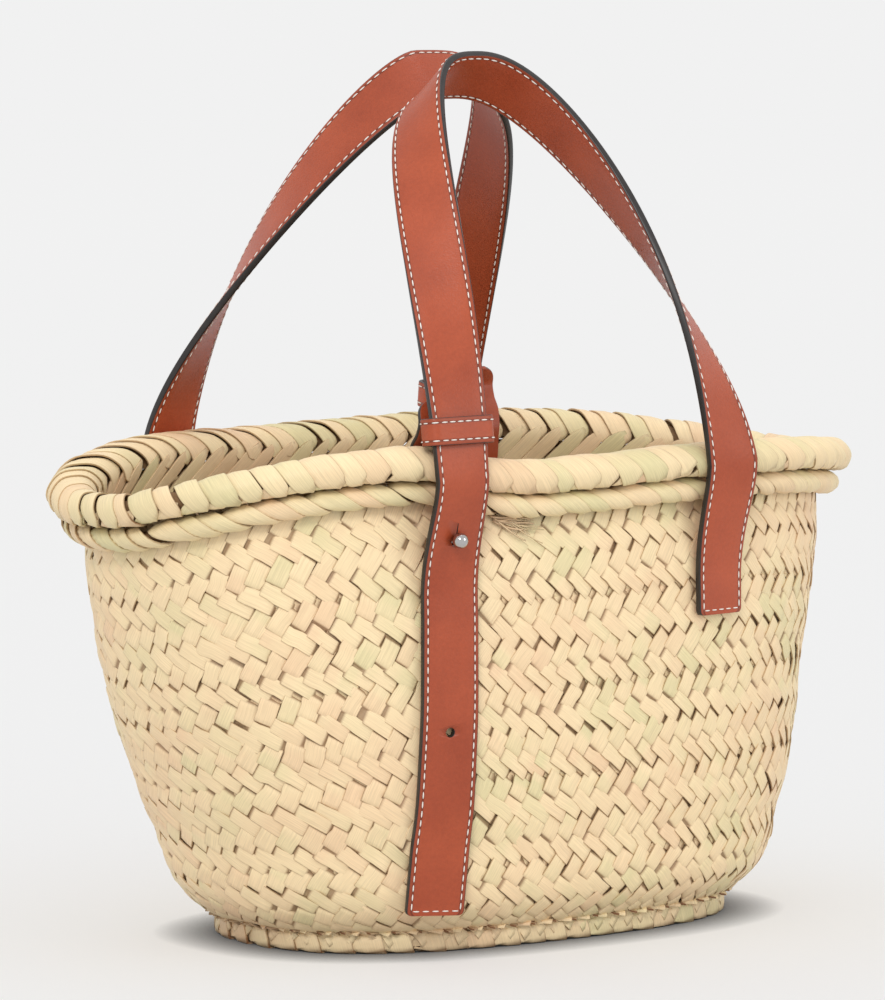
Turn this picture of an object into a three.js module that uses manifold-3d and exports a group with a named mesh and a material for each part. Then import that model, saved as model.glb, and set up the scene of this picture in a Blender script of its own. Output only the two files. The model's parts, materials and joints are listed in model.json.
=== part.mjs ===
// Straw basket bag: an oval plaited basket on a wrapped foot ring, with a thick wrapped rim and a
// twisted cord under it, two leather strap handles, and a keeper, a tab and a ball stud for each strap.
// Millimetres, +Z up, the basket's length along X, origin at the middle of the foot on the floor.
import * as THREE from "three";
import Module from "manifold-3d";
import { mergeVertices } from "three/addons/utils/BufferGeometryUtils.js";

// Basket body
const BODY_HEIGHT = 204; // floor to the top of the rim, middle of a long side
const WALL_LENGTH = 341; // outside, at the mouth
const WALL_DEPTH = 178.2; // outside, where the wall bulges most
const OVAL_POWER = 2.6; // 2 is an ellipse, more is squarer
const WALL_THICKNESS = 3;
const PIECE_GAP = 0.3; // left between neighbouring pieces

// Foot ring, rim roll and the cord under the roll
const FOOT_HEIGHT = 8;
const FOOT_WIDTH = 6;
const FOOT_PROUD = 1.2; // how far the foot stands out past the wall's bottom edge
const FOOT_EDGE = 1; // cut off its outer corners
const FOOT_SHIFT = 7.2; // the foot stands off the mouth's middle, towards +X
const ROLL_WIDTH = 17.8;
const ROLL_HEIGHT = 13.5;
const ROLL_INSIDE = 4; // how much of the roll's width lies inside the wall's outer face
const CORD_WIDTH = 7.8;
const CORD_HEIGHT = 8.8;

// Strap handles
const STRAP_WIDTH = 25;
const STRAP_THICKNESS = 3;
const STRAP_GAP = 0.7; // between the strap's back and the wall
const STRAP_ROLL_GAP = 1.2; // between the strap's back and the roll
const HANDLE_SPAN = 140; // from leg to leg, nominal
const HANDLE_RISE = 157.5; // arch foot to the top of the strap's middle line
const ARCH_FOOT_BELOW_RIM = 9;
const CROWN_GAP = 7.4; // between the two handles where they lean together
const CROWN_TILT = 1.07; // rise for each unit across the strap at the crown
const TAIL_END = 18; // lowest point of the tail, above the floor
const TAIL_STRAIGHT = 40; // below this height the tail hangs nearly straight
const TAIL_DRAW_IN = 0.15; // how fast it follows the wall inwards there
const PATCH_BELOW_RIM = 72;
const LIFT_BELOW_RIM = 59; // where a strap starts to leave the wall to pass the rim

// Keepers, tabs, studs and button holes
const KEEPER_HEIGHT = 11;
const KEEPER_THICKNESS = 1.6;
const KEEPER_CLEARANCE = 1.4; // free space in front of the strap and beside it
const KEEPER_SLACK = 3.4; // free depth behind the strap
const KEEPER_ABOVE_ROLL = 2; // lower edge of the band
const KEEPER_SLANT = 3; // degrees
const KEEPER_ROUND = 3;
const TAB_WIDTH = 24;
const TAB_FOOT_WIDTH = 15; // from inside the wall up past the roll
const TAB_THICKNESS = 2;
const TAB_ABOVE_RIM = 21;
const TAB_LEAN = 3.5; // how far the top leans further into the bag than behind the keeper
const TAB_BELOW_RIM = 54;
const TAB_ROUND = 7;
const TAB_WALL_GAP = 0.9; // inside the wall and the roll
const TAB_KEEPER_GAP = 2.2; // behind the keeper, which leans with the strap
const STUD_BELOW_RIM = 34.5;
const STUD_BALL = 6.4;
const STUD_NECK = 3.2;
const STUD_COLLAR = 9;
const STUD_COLLAR_THICKNESS = 1.2;
const STUD_TAB_GAP = 1; // the tab is nearly square to the stud
const SPARE_HOLE_BELOW_RIM = 111;
const SLIT_LENGTH = 7;
const SLIT_WIDTH = 0.9;
const HOLE_CLEARANCE = 0.4;

// Facets
const ROUND_STEPS = 56; // round the basket
const STRAP_STEP = 9; // along a strap
const TAB_STEP = 4;
const STUD_SIDES = 14;
const BALL_STEPS = 7;
const CORNER_STEPS = 3; // in a keeper's rounded corner
const CHAMFER_SHARE = 0.2; // of a band's thickness
const FLOOR_SHARE = 0.03; // wall sections below this share of its height end at the floor
const TOP_SHARE = 0.97; // and those above this share give way to its top edge

// Samples along the routes before they are spaced evenly
const TAIL_SAMPLES = 60;
const ARCH_SAMPLES = 400;
const PATCH_SAMPLES = 30;
const TAB_SAMPLES = 90;

// Wall sections, as shares of BODY_HEIGHT, WALL_LENGTH, WALL_DEPTH and FOOT_SHIFT
const WALL_SECTIONS = [
  { height: 0.04, length: 0.666, depth: 0.77, shift: 1 },
  { height: 0.05, length: 0.701, depth: 0.814, shift: 1 },
  { height: 0.1, length: 0.762, depth: 0.902, shift: 1 },
  { height: 0.15, length: 0.796, depth: 0.942, shift: 0.95 },
  { height: 0.22, length: 0.821, depth: 0.958, shift: 0.83 },
  { height: 0.3, length: 0.86, depth: 0.983, shift: 0.66 },
  { height: 0.4, length: 0.893, depth: 0.994, shift: 0.38 },
  { height: 0.5, length: 0.923, depth: 1, shift: 0.06 },
  { height: 0.6, length: 0.949, depth: 0.997, shift: 0 },
  { height: 0.7, length: 0.974, depth: 0.992, shift: 0 },
  { height: 0.77, length: 0.987, depth: 0.979, shift: 0 },
  { height: 0.84, length: 0.994, depth: 0.956, shift: 0 },
  { height: 0.9, length: 0.999, depth: 0.93, shift: 0 },
  { height: 0.96, length: 1, depth: 0.908, shift: 0 },
];

// The two handles. Legs and sideways lean are shares of HANDLE_SPAN from the middle of the bag,
// the buttoned leg at -X; the other columns are powers that shape each half of the arch
const HANDLES = [
  {
    side: "front",
    turn: 0,
    buttonedLeg: 0.501,
    sewnLeg: 0.487,
    lean: 0.045,
    buttonedBow: 0.74,
    sewnBow: 0.83,
    buttonedTwist: 0.675,
    sewnTwist: 2.65,
    leanIn: 2.44,
  },
  {
    side: "back",
    turn: 180,
    buttonedLeg: 0.479,
    sewnLeg: 0.581,
    lean: -0.056,
    buttonedBow: 0.465,
    sewnBow: 1.32,
    buttonedTwist: 1.72,
    sewnTwist: 2.43,
    leanIn: 2.05,
  },
];
const RISE_POWER = 1.49; // how the arch rises from its feet

// Top of the rim round the mouth, as shares of BODY_HEIGHT: turn 0 is the +X end, 90 the back
const RIM_HEIGHTS = [
  { turn: 0, height: 0.955 },
  { turn: 30, height: 0.978 },
  { turn: 50, height: 1 },
  { turn: 75, height: 1.012 },
  { turn: 100, height: 0.999 },
  { turn: 122, height: 0.994 },
  { turn: 150, height: 0.953 },
  { turn: 178, height: 0.919 },
  { turn: 205, height: 0.958 },
  { turn: 230, height: 1.001 },
  { turn: 249, height: 1.014 },
  { turn: 263, height: 0.98 },
  { turn: 280, height: 0.99 },
  { turn: 305, height: 0.988 },
  { turn: 335, height: 0.967 },
];

// Cross-section of the roll, as shares of ROLL_WIDTH outwards and ROLL_HEIGHT upwards
const ROLL_SECTION = [
  { out: 0, up: 0.15 },
  { out: 0.07, up: 0 },
  { out: 0.8, up: 0 },
  { out: 1, up: 0.28 },
  { out: 1, up: 0.62 },
  { out: 0.78, up: 0.95 },
  { out: 0.5, up: 1 },
  { out: 0.2, up: 0.9 },
  { out: 0, up: 0.55 },
];

// Cross-section of the cord, as shares of CORD_WIDTH outwards and CORD_HEIGHT upwards
const CORD_SECTION = [
  { out: 0, up: 0.08 },
  { out: 0.5, up: 0 },
  { out: 1, up: 0.3 },
  { out: 1, up: 0.72 },
  { out: 0.5, up: 1 },
  { out: 0, up: 0.92 },
];

const wasm = await Module();
wasm.setup();

const { degToRad, lerp, smoothstep } = THREE.MathUtils;

// Smooth value of one column between the rows of a table
function lookUp(rows, key, column, at) {
  let upper = 1;
  while (upper < rows.length - 1 && rows[upper][key] < at) upper++;
  const row = (index) => rows[Math.min(Math.max(index, 0), rows.length - 1)];
  const [before, low, high, after] = [-2, -1, 0, 1].map((step) => row(upper + step));
  const span = high[key] - low[key];
  const slope = (from, to) => ((to[column] - from[column]) / (to[key] - from[key])) * span;
  const share = THREE.MathUtils.clamp((at - low[key]) / span, 0, 1);
  const square = share * share;
  const cube = square * share;
  return (
    (2 * cube - 3 * square + 1) * low[column] +
    (cube - 2 * square + share) * slope(before, high) +
    (3 * square - 2 * cube) * high[column] +
    (cube - square) * slope(low, after)
  );
}

const RIM_ROUND = [
  { ...RIM_HEIGHTS.at(-1), turn: RIM_HEIGHTS.at(-1).turn - 360 },
  ...RIM_HEIGHTS,
  ...RIM_HEIGHTS.slice(0, 2).map((row) => ({ ...row, turn: row.turn + 360 })),
];
const rimTop = (turn) => BODY_HEIGHT * lookUp(RIM_ROUND, "turn", "height", turn);
const wallTop = (turn) => rimTop(turn) - ROLL_HEIGHT - PIECE_GAP;

// Half sizes of the wall's outer face at a height
function wallHalves(z, outwards = 0) {
  const share = z / BODY_HEIGHT;
  return [
    (WALL_LENGTH / 2) * lookUp(WALL_SECTIONS, "height", "length", share) + outwards,
    (WALL_DEPTH / 2) * lookUp(WALL_SECTIONS, "height", "depth", share) + outwards,
  ];
}

// How far the wall's middle stands off the mouth's at a height
const wallShift = (z) => FOOT_SHIFT * lookUp(WALL_SECTIONS, "height", "shift", z / BODY_HEIGHT);

// Half sizes of the oval that the roll follows, taken at the wall's hidden top edge
const rimHalves = (outwards) => wallHalves(BODY_HEIGHT, outwards);

function ovalPoint(turn, [halfLength, halfDepth], z) {
  const along = (value) => Math.sign(value) * Math.abs(value) ** (2 / OVAL_POWER);
  const angle = degToRad(turn);
  return new THREE.Vector3(halfLength * along(Math.cos(angle)), halfDepth * along(Math.sin(angle)), z);
}

// Point of the wall's outer face, or of a face that lies outwards from it
function wallPoint(turn, z, outwards) {
  const point = ovalPoint(turn, wallHalves(z, outwards), z);
  point.x += wallShift(z);
  return point;
}

// Distance from the long axis to an oval at x, and its slope there
function ovalDepth(x, [halfLength, halfDepth]) {
  const reach = Math.abs(x) / halfLength;
  const rest = 1 - reach ** OVAL_POWER;
  const slope = (halfDepth / halfLength) * reach ** (OVAL_POWER - 1) * rest ** (1 / OVAL_POWER - 1);
  return { depth: halfDepth * rest ** (1 / OVAL_POWER), slope: -Math.sign(x) * slope };
}

// The same for the wall, on the side of the bag where a handle's set stands at the front
function wallDepth(row, x, z, outwards = 0) {
  const side = Math.cos(degToRad(row.turn));
  return ovalDepth(x - side * wallShift(z), wallHalves(z, outwards));
}

// Closed body through rings of points: the last ring joins the first, or both ends are capped
function loft(rings, joined) {
  const sides = rings[0].length;
  const points = rings.flat();
  const faces = [];
  const quad = (a, b, c, d) => faces.push(a, b, c, a, c, d);
  const last = joined ? rings.length : rings.length - 1;
  for (let ring = 0; ring < last; ring++) {
    const here = ring * sides;
    const there = ((ring + 1) % rings.length) * sides;
    for (let side = 0; side < sides; side++) {
      const next = (side + 1) % sides;
      quad(here + side, here + next, there + next, there + side);
    }
  }
  if (!joined) {
    const cap = (ring, turned) => {
      const middle = ring.reduce((sum, point) => sum.add(point), new THREE.Vector3());
      const centre = points.push(middle.divideScalar(sides)) - 1;
      const start = turned ? (rings.length - 1) * sides : 0;
      for (let side = 0; side < sides; side++) {
        const pair = [start + side, start + ((side + 1) % sides)];
        if (!turned) pair.reverse();
        faces.push(centre, ...pair);
      }
    };
    cap(rings[0], false);
    cap(rings.at(-1), true);
  }
  const geometry = new THREE.BufferGeometry();
  geometry.setAttribute("position", new THREE.Float32BufferAttribute(points.flatMap((p) => p.toArray()), 3));
  geometry.setIndex(faces);
  return geometry;
}

function toSolid(geometry) {
  const bare = geometry.clone();
  bare.deleteAttribute("normal");
  bare.deleteAttribute("uv");
  const merged = mergeVertices(bare, 1e-4);
  return new wasm.Manifold(
    new wasm.Mesh({
      numProp: 3,
      vertProperties: new Float32Array(merged.attributes.position.array),
      triVerts: new Uint32Array(merged.index.array),
    }),
  );
}

function toGeometry(solid) {
  const mesh = solid.getMesh();
  const geometry = new THREE.BufferGeometry();
  geometry.setAttribute("position", new THREE.BufferAttribute(mesh.vertProperties, 3));
  geometry.setIndex(new THREE.BufferAttribute(mesh.triVerts, 1));
  return geometry;
}

function cutAway(geometry, tools) {
  return toGeometry(tools.reduce((solid, tool) => solid.subtract(toSolid(tool)), toSolid(geometry)));
}

const TURNS = Array.from({ length: ROUND_STEPS }, (_, step) => (360 * step) / ROUND_STEPS);

// Hollow basket: floor underside, outer wall up to the roll, then inner wall down to the floor
const FLOOR_UNDERSIDE = FOOT_HEIGHT + PIECE_GAP;

function wallRing(share, inwards) {
  return TURNS.map((turn) => {
    const z = lerp(FLOOR_UNDERSIDE, wallTop(turn), share);
    return wallPoint(turn, z, -inwards);
  });
}

function basketShell(studTools) {
  const outerShares = WALL_SECTIONS.map(
    (row) => (row.height * BODY_HEIGHT - FLOOR_UNDERSIDE) / (wallTop(90) - FLOOR_UNDERSIDE),
  ).filter((share) => share < TOP_SHARE);
  outerShares[0] = 0;
  const rings = [...outerShares, 1].map((share) => wallRing(share, 0));
  const innerShares = outerShares.filter((share) => share > FLOOR_SHARE).reverse();
  rings.push(...[1, ...innerShares].map((share) => wallRing(share, WALL_THICKNESS)));
  const floorTop = FLOOR_UNDERSIDE + WALL_THICKNESS;
  rings.push(TURNS.map((turn) => wallPoint(turn, floorTop, -2 * WALL_THICKNESS)));
  return cutAway(loft(rings, false), studTools);
}

function footRing() {
  const outside = wallHalves(FLOOR_UNDERSIDE, FOOT_PROUD);
  const inside = outside.map((half) => half - FOOT_WIDTH);
  const shrink = (halves, by) => halves.map((half) => half - by);
  const loops = [
    [outside, FOOT_EDGE],
    [outside, FOOT_HEIGHT - FOOT_EDGE],
    [shrink(outside, FOOT_EDGE), FOOT_HEIGHT],
    [inside, FOOT_HEIGHT],
    [inside, 0],
    [shrink(outside, FOOT_EDGE), 0],
  ];
  const ring = loft(
    loops.map(([halves, z]) => TURNS.map((turn) => ovalPoint(turn, halves, z))),
    true,
  );
  return ring.translate(wallShift(FLOOR_UNDERSIDE), 0, 0);
}

function rimRoll() {
  return loft(
    ROLL_SECTION.map(({ out, up }) => {
      const halves = rimHalves(out * ROLL_WIDTH - ROLL_INSIDE);
      return TURNS.map((turn) => ovalPoint(turn, halves, rimTop(turn) - ROLL_HEIGHT * (1 - up)));
    }),
    true,
  );
}

function rimCord() {
  return loft(
    CORD_SECTION.map(({ out, up }) =>
      TURNS.map((turn) => {
        const z = wallTop(turn) - CORD_HEIGHT * (1 - up);
        return wallPoint(turn, z, PIECE_GAP + out * CORD_WIDTH);
      }),
    ),
    true,
  );
}

// Heights that the leather follows, all hung from the rim beside the straps
const ARCH_FOOT = BODY_HEIGHT - ARCH_FOOT_BELOW_RIM;
const LIFT_START = BODY_HEIGHT - LIFT_BELOW_RIM;
const ROLL_OUTSIDE = rimHalves(ROLL_WIDTH - ROLL_INSIDE);

// Middle line of a strap that passes the roll at x, as far out as its inner edge needs
function depthAtRoll(legX) {
  const { depth } = ovalDepth(legX - Math.sign(legX) * (STRAP_WIDTH / 2), ROLL_OUTSIDE);
  return depth + STRAP_ROLL_GAP + STRAP_THICKNESS / 2;
}

// Strap on the outside of the wall: it hangs against the wall and leaves it to pass the rim
function strapLeg(row, legX, z) {
  const clear = STRAP_GAP + STRAP_THICKNESS / 2;
  const wall = wallDepth(row, legX, Math.max(z, TAIL_STRAIGHT));
  const drawnIn = Math.max(0, TAIL_STRAIGHT - z) * TAIL_DRAW_IN;
  const lift = smoothstep(z, LIFT_START, ARCH_FOOT);
  const depth = lerp(wall.depth + clear - drawnIn, depthAtRoll(legX), lift);
  const turned = lerp(wall.slope, 0, lift);
  return {
    centre: new THREE.Vector3(legX, -depth, z),
    across: new THREE.Vector3(1, -turned, 0).multiplyScalar(-Math.sign(legX)),
  };
}

const buttonedX = (row) => -row.buttonedLeg * HANDLE_SPAN;
const sewnX = (row) => row.sewnLeg * HANDLE_SPAN;

// Arch of a handle as it stands at the front, from its buttoned leg to its sewn leg
const CROWN_ACROSS = 1 / Math.hypot(1, CROWN_TILT);
const CROWN_DEPTH = CROWN_GAP / 2 + (STRAP_WIDTH / 2) * CROWN_ACROSS;

function strapArch(row, share) {
  const angle = Math.PI * share;
  const [along, up] = [Math.cos(angle), Math.sin(angle)];
  const [legX, bow, twist, turned] =
    along > 0
      ? [buttonedX(row), row.buttonedBow, row.buttonedTwist, 90]
      : [sewnX(row), row.sewnBow, row.sewnTwist, -90];
  const footDepth = depthAtRoll(legX);
  const x = legX * Math.abs(along) ** bow - row.lean * HANDLE_SPAN * up;
  const depth = footDepth - (footDepth - CROWN_DEPTH) * up ** row.leanIn;
  const turn = degToRad(turned * Math.abs(along) ** twist - 90);
  return {
    centre: new THREE.Vector3(x, -depth, ARCH_FOOT + HANDLE_RISE * up ** RISE_POWER),
    across: new THREE.Vector3(Math.cos(turn), Math.sin(turn), CROWN_TILT * up),
  };
}

// The same route with its stations evenly spaced
function spaced(route, step) {
  const lengths = [0];
  for (let i = 1; i < route.length; i++) {
    lengths.push(lengths[i - 1] + route[i].centre.distanceTo(route[i - 1].centre));
  }
  const count = Math.round(lengths.at(-1) / step);
  return Array.from({ length: count + 1 }, (_, place) => {
    const at = (lengths.at(-1) * place) / count;
    let i = 1;
    while (i < route.length - 1 && lengths[i] < at) i++;
    const share = (at - lengths[i - 1]) / (lengths[i] - lengths[i - 1]);
    return {
      centre: route[i - 1].centre.clone().lerp(route[i].centre, share),
      across: route[i - 1].across.clone().lerp(route[i].across, share),
    };
  });
}

// Unit vector nearest to one direction that stands square to another
function squareTo(across, forward) {
  return across.clone().addScaledVector(forward, -across.dot(forward)).normalize();
}

// Leather band of chamfered section along a route, with rounded corners at its last end
function band(route, widthAt, thickness, endRound = 0) {
  const chamfer = thickness * CHAMFER_SHARE;
  const rings = route.map(({ centre, across }, place) => {
    const before = route[Math.max(place - 1, 0)].centre;
    const after = route[Math.min(place + 1, route.length - 1)].centre;
    const forward = after.clone().sub(before).normalize();
    const side = squareTo(across, forward);
    const face = forward.clone().cross(side);
    const toEnd = centre.distanceTo(route.at(-1).centre);
    const missing = Math.max(0, endRound - toEnd);
    const half = widthAt(centre.z) / 2 - (endRound - Math.sqrt(endRound ** 2 - missing ** 2));
    const [wide, thick] = [half - chamfer, thickness / 2 - chamfer];
    return [
      [-half, -thick],
      [-wide, -thickness / 2],
      [wide, -thickness / 2],
      [half, -thick],
      [half, thick],
      [wide, thickness / 2],
      [-wide, thickness / 2],
      [-half, thick],
    ].map(([s, f]) => centre.clone().addScaledVector(side, s).addScaledVector(face, f));
  });
  return loft(rings, false);
}

function range(from, to, steps) {
  return Array.from({ length: steps + 1 }, (_, step) => lerp(from, to, step / steps));
}

function handleRoute(row) {
  const patchEnd = BODY_HEIGHT - PATCH_BELOW_RIM;
  return [
    ...range(TAIL_END, ARCH_FOOT, TAIL_SAMPLES).map((z) => strapLeg(row, buttonedX(row), z)),
    ...range(0, 1, ARCH_SAMPLES).slice(1).map((share) => strapArch(row, share)),
    ...range(ARCH_FOOT, patchEnd, PATCH_SAMPLES).slice(1).map((z) => strapLeg(row, sewnX(row), z)),
  ];
}

// Frame standing on a strap or wall: x across, y up along it, z out of it
function placeOn(geometry, origin, across, outwards) {
  const out = outwards.clone().normalize();
  const side = squareTo(across, out);
  const basis = new THREE.Matrix4().makeBasis(side, out.clone().cross(side), out);
  return geometry.applyMatrix4(basis.setPosition(origin));
}

// Outward normal of the front wall at the buttoned strap
function wallNormal(row, z) {
  const x = buttonedX(row);
  const { slope } = wallDepth(row, x, z);
  const rise = (wallDepth(row, x, z + 1).depth - wallDepth(row, x, z - 1).depth) / 2;
  return new THREE.Vector3(-slope, -1, -rise).normalize();
}

// Seat of a stud: where its axis meets the strap's middle, and the way from there back to the wall
const STUD_Z = BODY_HEIGHT - STUD_BELOW_RIM;

function studSeat(row) {
  const { centre, across } = strapLeg(row, buttonedX(row), STUD_Z);
  const out = wallNormal(row, STUD_Z);
  const standOff = -centre.y - wallDepth(row, buttonedX(row), STUD_Z).depth;
  return { centre, across, out, toWall: standOff * -out.y };
}

// Half profile of a stud along its axis, with 0 at the strap's middle plane
function studProfile(toWall) {
  const ball = STUD_BALL / 2;
  const neck = STUD_NECK / 2;
  const collar = STUD_COLLAR / 2;
  const ballCentre = STRAP_THICKNESS / 2 + 2 * PIECE_GAP + ball;
  const tabBack = -toWall - WALL_THICKNESS - TAB_WALL_GAP - TAB_THICKNESS - STUD_TAB_GAP;
  const collarBack = -toWall + 2 * PIECE_GAP;
  const start = Math.asin(neck / ball);
  const sphere = range(start, Math.PI, BALL_STEPS).map((angle) => [
    ball * Math.sin(angle),
    ballCentre - ball * Math.cos(angle),
  ]);
  return [
    [0, tabBack - STUD_COLLAR_THICKNESS],
    [collar, tabBack - STUD_COLLAR_THICKNESS],
    [collar, tabBack],
    [neck, tabBack],
    [neck, collarBack],
    [collar, collarBack],
    [collar, collarBack + STUD_COLLAR_THICKNESS],
    [neck, collarBack + STUD_COLLAR_THICKNESS],
    ...sphere.slice(0, -1),
    [0, ballCentre + ball],
  ].map(([radius, height]) => new THREE.Vector2(radius, height));
}

function stud(row) {
  const { centre, across, out, toWall } = studSeat(row);
  const body = new THREE.LatheGeometry(studProfile(toWall), STUD_SIDES).rotateX(Math.PI / 2);
  return placeOn(body, centre, across, out);
}

// Tools that cut a stud's way through a wall and a tab, and the holes and slits of a strap
const HOLE = STUD_NECK / 2 + HOLE_CLEARANCE;
const DRILL_DEPTH = 20 * STRAP_THICKNESS;
const SLIT_DEPTH = 6 * STRAP_THICKNESS;

function drill(depth) {
  return new THREE.CylinderGeometry(HOLE, HOLE, depth, STUD_SIDES).rotateX(Math.PI / 2);
}

function shankTool(row) {
  const { centre, across, out } = studSeat(row);
  return placeOn(drill(DRILL_DEPTH), centre, across, out);
}

function buttonHoleTools(row, z) {
  const { centre, across } = strapLeg(row, buttonedX(row), z);
  const out = wallNormal(row, z);
  const slit = new THREE.BoxGeometry(SLIT_WIDTH, SLIT_LENGTH, SLIT_DEPTH);
  slit.translate(0, SLIT_LENGTH / 2, 0);
  return [drill(SLIT_DEPTH), slit].map((tool) => placeOn(tool, centre, across, out));
}

function handle(row) {
  const strap = band(spaced(handleRoute(row), STRAP_STEP), () => STRAP_WIDTH, STRAP_THICKNESS);
  const heights = [STUD_Z, BODY_HEIGHT - SPARE_HOLE_BELOW_RIM];
  return cutAway(strap, heights.flatMap((z) => buttonHoleTools(row, z)));
}

// Where the arch's buttoned leg stands at a height above its foot
function archAt(row, z) {
  const up = ((z - ARCH_FOOT) / HANDLE_RISE) ** (1 / RISE_POWER);
  return strapArch(row, Math.asin(up) / Math.PI);
}

// Seat of a keeper: just above the roll, square to the strap or nearly so
const LEG_TURNS = [72, 252]; // where the two buttoned legs pass the rim
const KEEPER_Z = Math.max(...LEG_TURNS.map(rimTop)) + KEEPER_ABOVE_ROLL + KEEPER_HEIGHT / 2;
const keeperFront = STRAP_THICKNESS / 2 + KEEPER_CLEARANCE;
const keeperBack = STRAP_THICKNESS / 2 + KEEPER_SLACK;

function keeperSeat(row) {
  const { centre, across } = archAt(row, KEEPER_Z);
  const forward = archAt(row, KEEPER_Z + 2).centre.sub(archAt(row, KEEPER_Z - 2).centre).normalize();
  const side = squareTo(across, forward);
  const strapFace = forward.cross(side).negate();
  return { centre, side, out: strapFace.lerp(new THREE.Vector3(0, -1, 0), 0.5) };
}

function roundedOutline(target, left, right, low, high, radius) {
  target.moveTo(left + radius, low);
  target.lineTo(right - radius, low);
  target.absarc(right - radius, low + radius, radius, -Math.PI / 2, 0);
  target.lineTo(right, high - radius);
  target.absarc(right - radius, high - radius, radius, 0, Math.PI / 2);
  target.lineTo(left + radius, high);
  target.absarc(left + radius, high - radius, radius, Math.PI / 2, Math.PI);
  target.lineTo(left, low + radius);
  target.absarc(left + radius, low + radius, radius, Math.PI, 1.5 * Math.PI);
  return target;
}

// Closed leather loop round the strap, deeper than the strap is thick
function keeper(row) {
  const half = STRAP_WIDTH / 2 + KEEPER_CLEARANCE;
  const outer = half + KEEPER_THICKNESS;
  const [front, back] = [keeperFront + KEEPER_THICKNESS, keeperBack + KEEPER_THICKNESS];
  const inner = KEEPER_ROUND - KEEPER_THICKNESS;
  const outline = roundedOutline(new THREE.Shape(), -outer, outer, -back, front, KEEPER_ROUND);
  outline.holes.push(roundedOutline(new THREE.Path(), -half, half, -keeperBack, keeperFront, inner));
  const loop = new THREE.ExtrudeGeometry(outline, {
    depth: KEEPER_HEIGHT,
    bevelEnabled: false,
    curveSegments: CORNER_STEPS,
  });
  loop.translate(0, 0, -KEEPER_HEIGHT / 2).rotateX(Math.PI / 2).rotateZ(degToRad(KEEPER_SLANT));
  const { centre, side, out } = keeperSeat(row);
  return placeOn(loop, centre, side, out);
}

// Flat tab laid inside an oval at x, touching it along both edges
function chord(x, halves) {
  const [left, right] = [-1, 1].map((side) => ovalDepth(x + (side * TAB_WIDTH) / 2, halves).depth);
  return { depth: (left + right) / 2, slope: (right - left) / TAB_WIDTH };
}

// Tab sewn inside the wall: it climbs past the roll and stands behind the keeper
function tabRoute(row) {
  const x = buttonedX(row);
  const clear = TAB_WALL_GAP + TAB_THICKNESS / 2;
  const inWall = (z) => chord(x, wallHalves(z, -WALL_THICKNESS)).depth - clear;
  const inRoll = chord(x, rimHalves(-ROLL_INSIDE)).depth - clear;
  const keeperReach = keeperBack + KEEPER_THICKNESS + TAB_KEEPER_GAP + TAB_THICKNESS / 2;
  const behindKeeper = -keeperSeat(row).centre.y - keeperReach;
  const low = BODY_HEIGHT - TAB_BELOW_RIM;
  const underRoll = BODY_HEIGHT - ROLL_HEIGHT - 3 * TAB_THICKNESS;
  const top = BODY_HEIGHT + TAB_ABOVE_RIM;
  const places = [
    [low, inWall(low)],
    [lerp(low, underRoll, 0.5), inWall(lerp(low, underRoll, 0.5))],
    [underRoll, Math.min(inWall(underRoll), inRoll + 1)],
    [BODY_HEIGHT - ROLL_HEIGHT * 0.7, inRoll],
    [BODY_HEIGHT - ROLL_HEIGHT * 0.25, inRoll],
    [BODY_HEIGHT + ROLL_HEIGHT * 0.2, lerp(inRoll, behindKeeper, 0.3)],
    [BODY_HEIGHT + ROLL_HEIGHT * 0.6, lerp(inRoll, behindKeeper, 0.8)],
    [BODY_HEIGHT + ROLL_HEIGHT, behindKeeper],
    [top, behindKeeper - TAB_LEAN],
  ];
  const points = places.map(([z, depth]) => new THREE.Vector3(x, -depth, z));
  const { slope } = chord(x, wallHalves(STUD_Z, -WALL_THICKNESS));
  return new THREE.CatmullRomCurve3(points).getSpacedPoints(TAB_SAMPLES).map((centre) => ({
    centre,
    across: new THREE.Vector3(1, -slope * (1 - smoothstep(centre.z, BODY_HEIGHT, top)), 0),
  }));
}

function tabWidth(z) {
  const wide = smoothstep(z, BODY_HEIGHT - 0.6 * ROLL_HEIGHT, BODY_HEIGHT + TAB_ABOVE_RIM - TAB_ROUND);
  return lerp(TAB_FOOT_WIDTH, TAB_WIDTH, wide);
}

function tab(row) {
  const route = spaced(tabRoute(row), TAB_STEP);
  const end = route.at(-1);
  const rounded = [0.35, 0.12].map((share) => ({
    centre: end.centre.clone().lerp(route.at(-2).centre, share),
    across: end.across,
  }));
  route.splice(-1, 0, ...rounded);
  return cutAway(band(route, tabWidth, TAB_THICKNESS, TAB_ROUND), [shankTool(row)]);
}

// Materials
const straw = { color: 0xe2cf9e, roughness: 0.75, metalness: 0 };
const leather = { color: 0x9a5238, roughness: 0.5, metalness: 0 };
const polishedMetal = { color: 0xc9c9cc, roughness: 0.2, metalness: 1 };

function piece(name, geometry, finish) {
  geometry.computeVertexNormals();
  const mesh = new THREE.Mesh(geometry, new THREE.MeshStandardMaterial(finish));
  mesh.name = name;
  return mesh;
}

// Assembly: the back handle's leather is made as if at the front and turned half round the bag
const bag = new THREE.Group();
const studWays = HANDLES.map((row) => shankTool(row).rotateZ(degToRad(row.turn)));
bag.add(
  piece("basket_shell", basketShell(studWays), straw),
  piece("base_ring", footRing(), straw),
  piece("rim_cord", rimCord(), straw),
  piece("rim_roll", rimRoll(), straw),
);
for (const row of HANDLES) {
  const set = new THREE.Group();
  set.rotation.z = degToRad(row.turn);
  set.add(
    piece(`handle_${row.side}`, handle(row), leather),
    piece(`keeper_${row.side}`, keeper(row), leather),
    piece(`tab_${row.side}`, tab(row), leather),
    piece(`stud_${row.side}`, stud(row), polishedMetal),
  );
  bag.add(set);
}

export default bag;
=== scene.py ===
# Straw basket bag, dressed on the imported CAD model. Metres, +Z up, front at -Y.
import json
import math

import bmesh
import bpy
import numpy as np
from mathutils import Matrix, Vector

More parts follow.
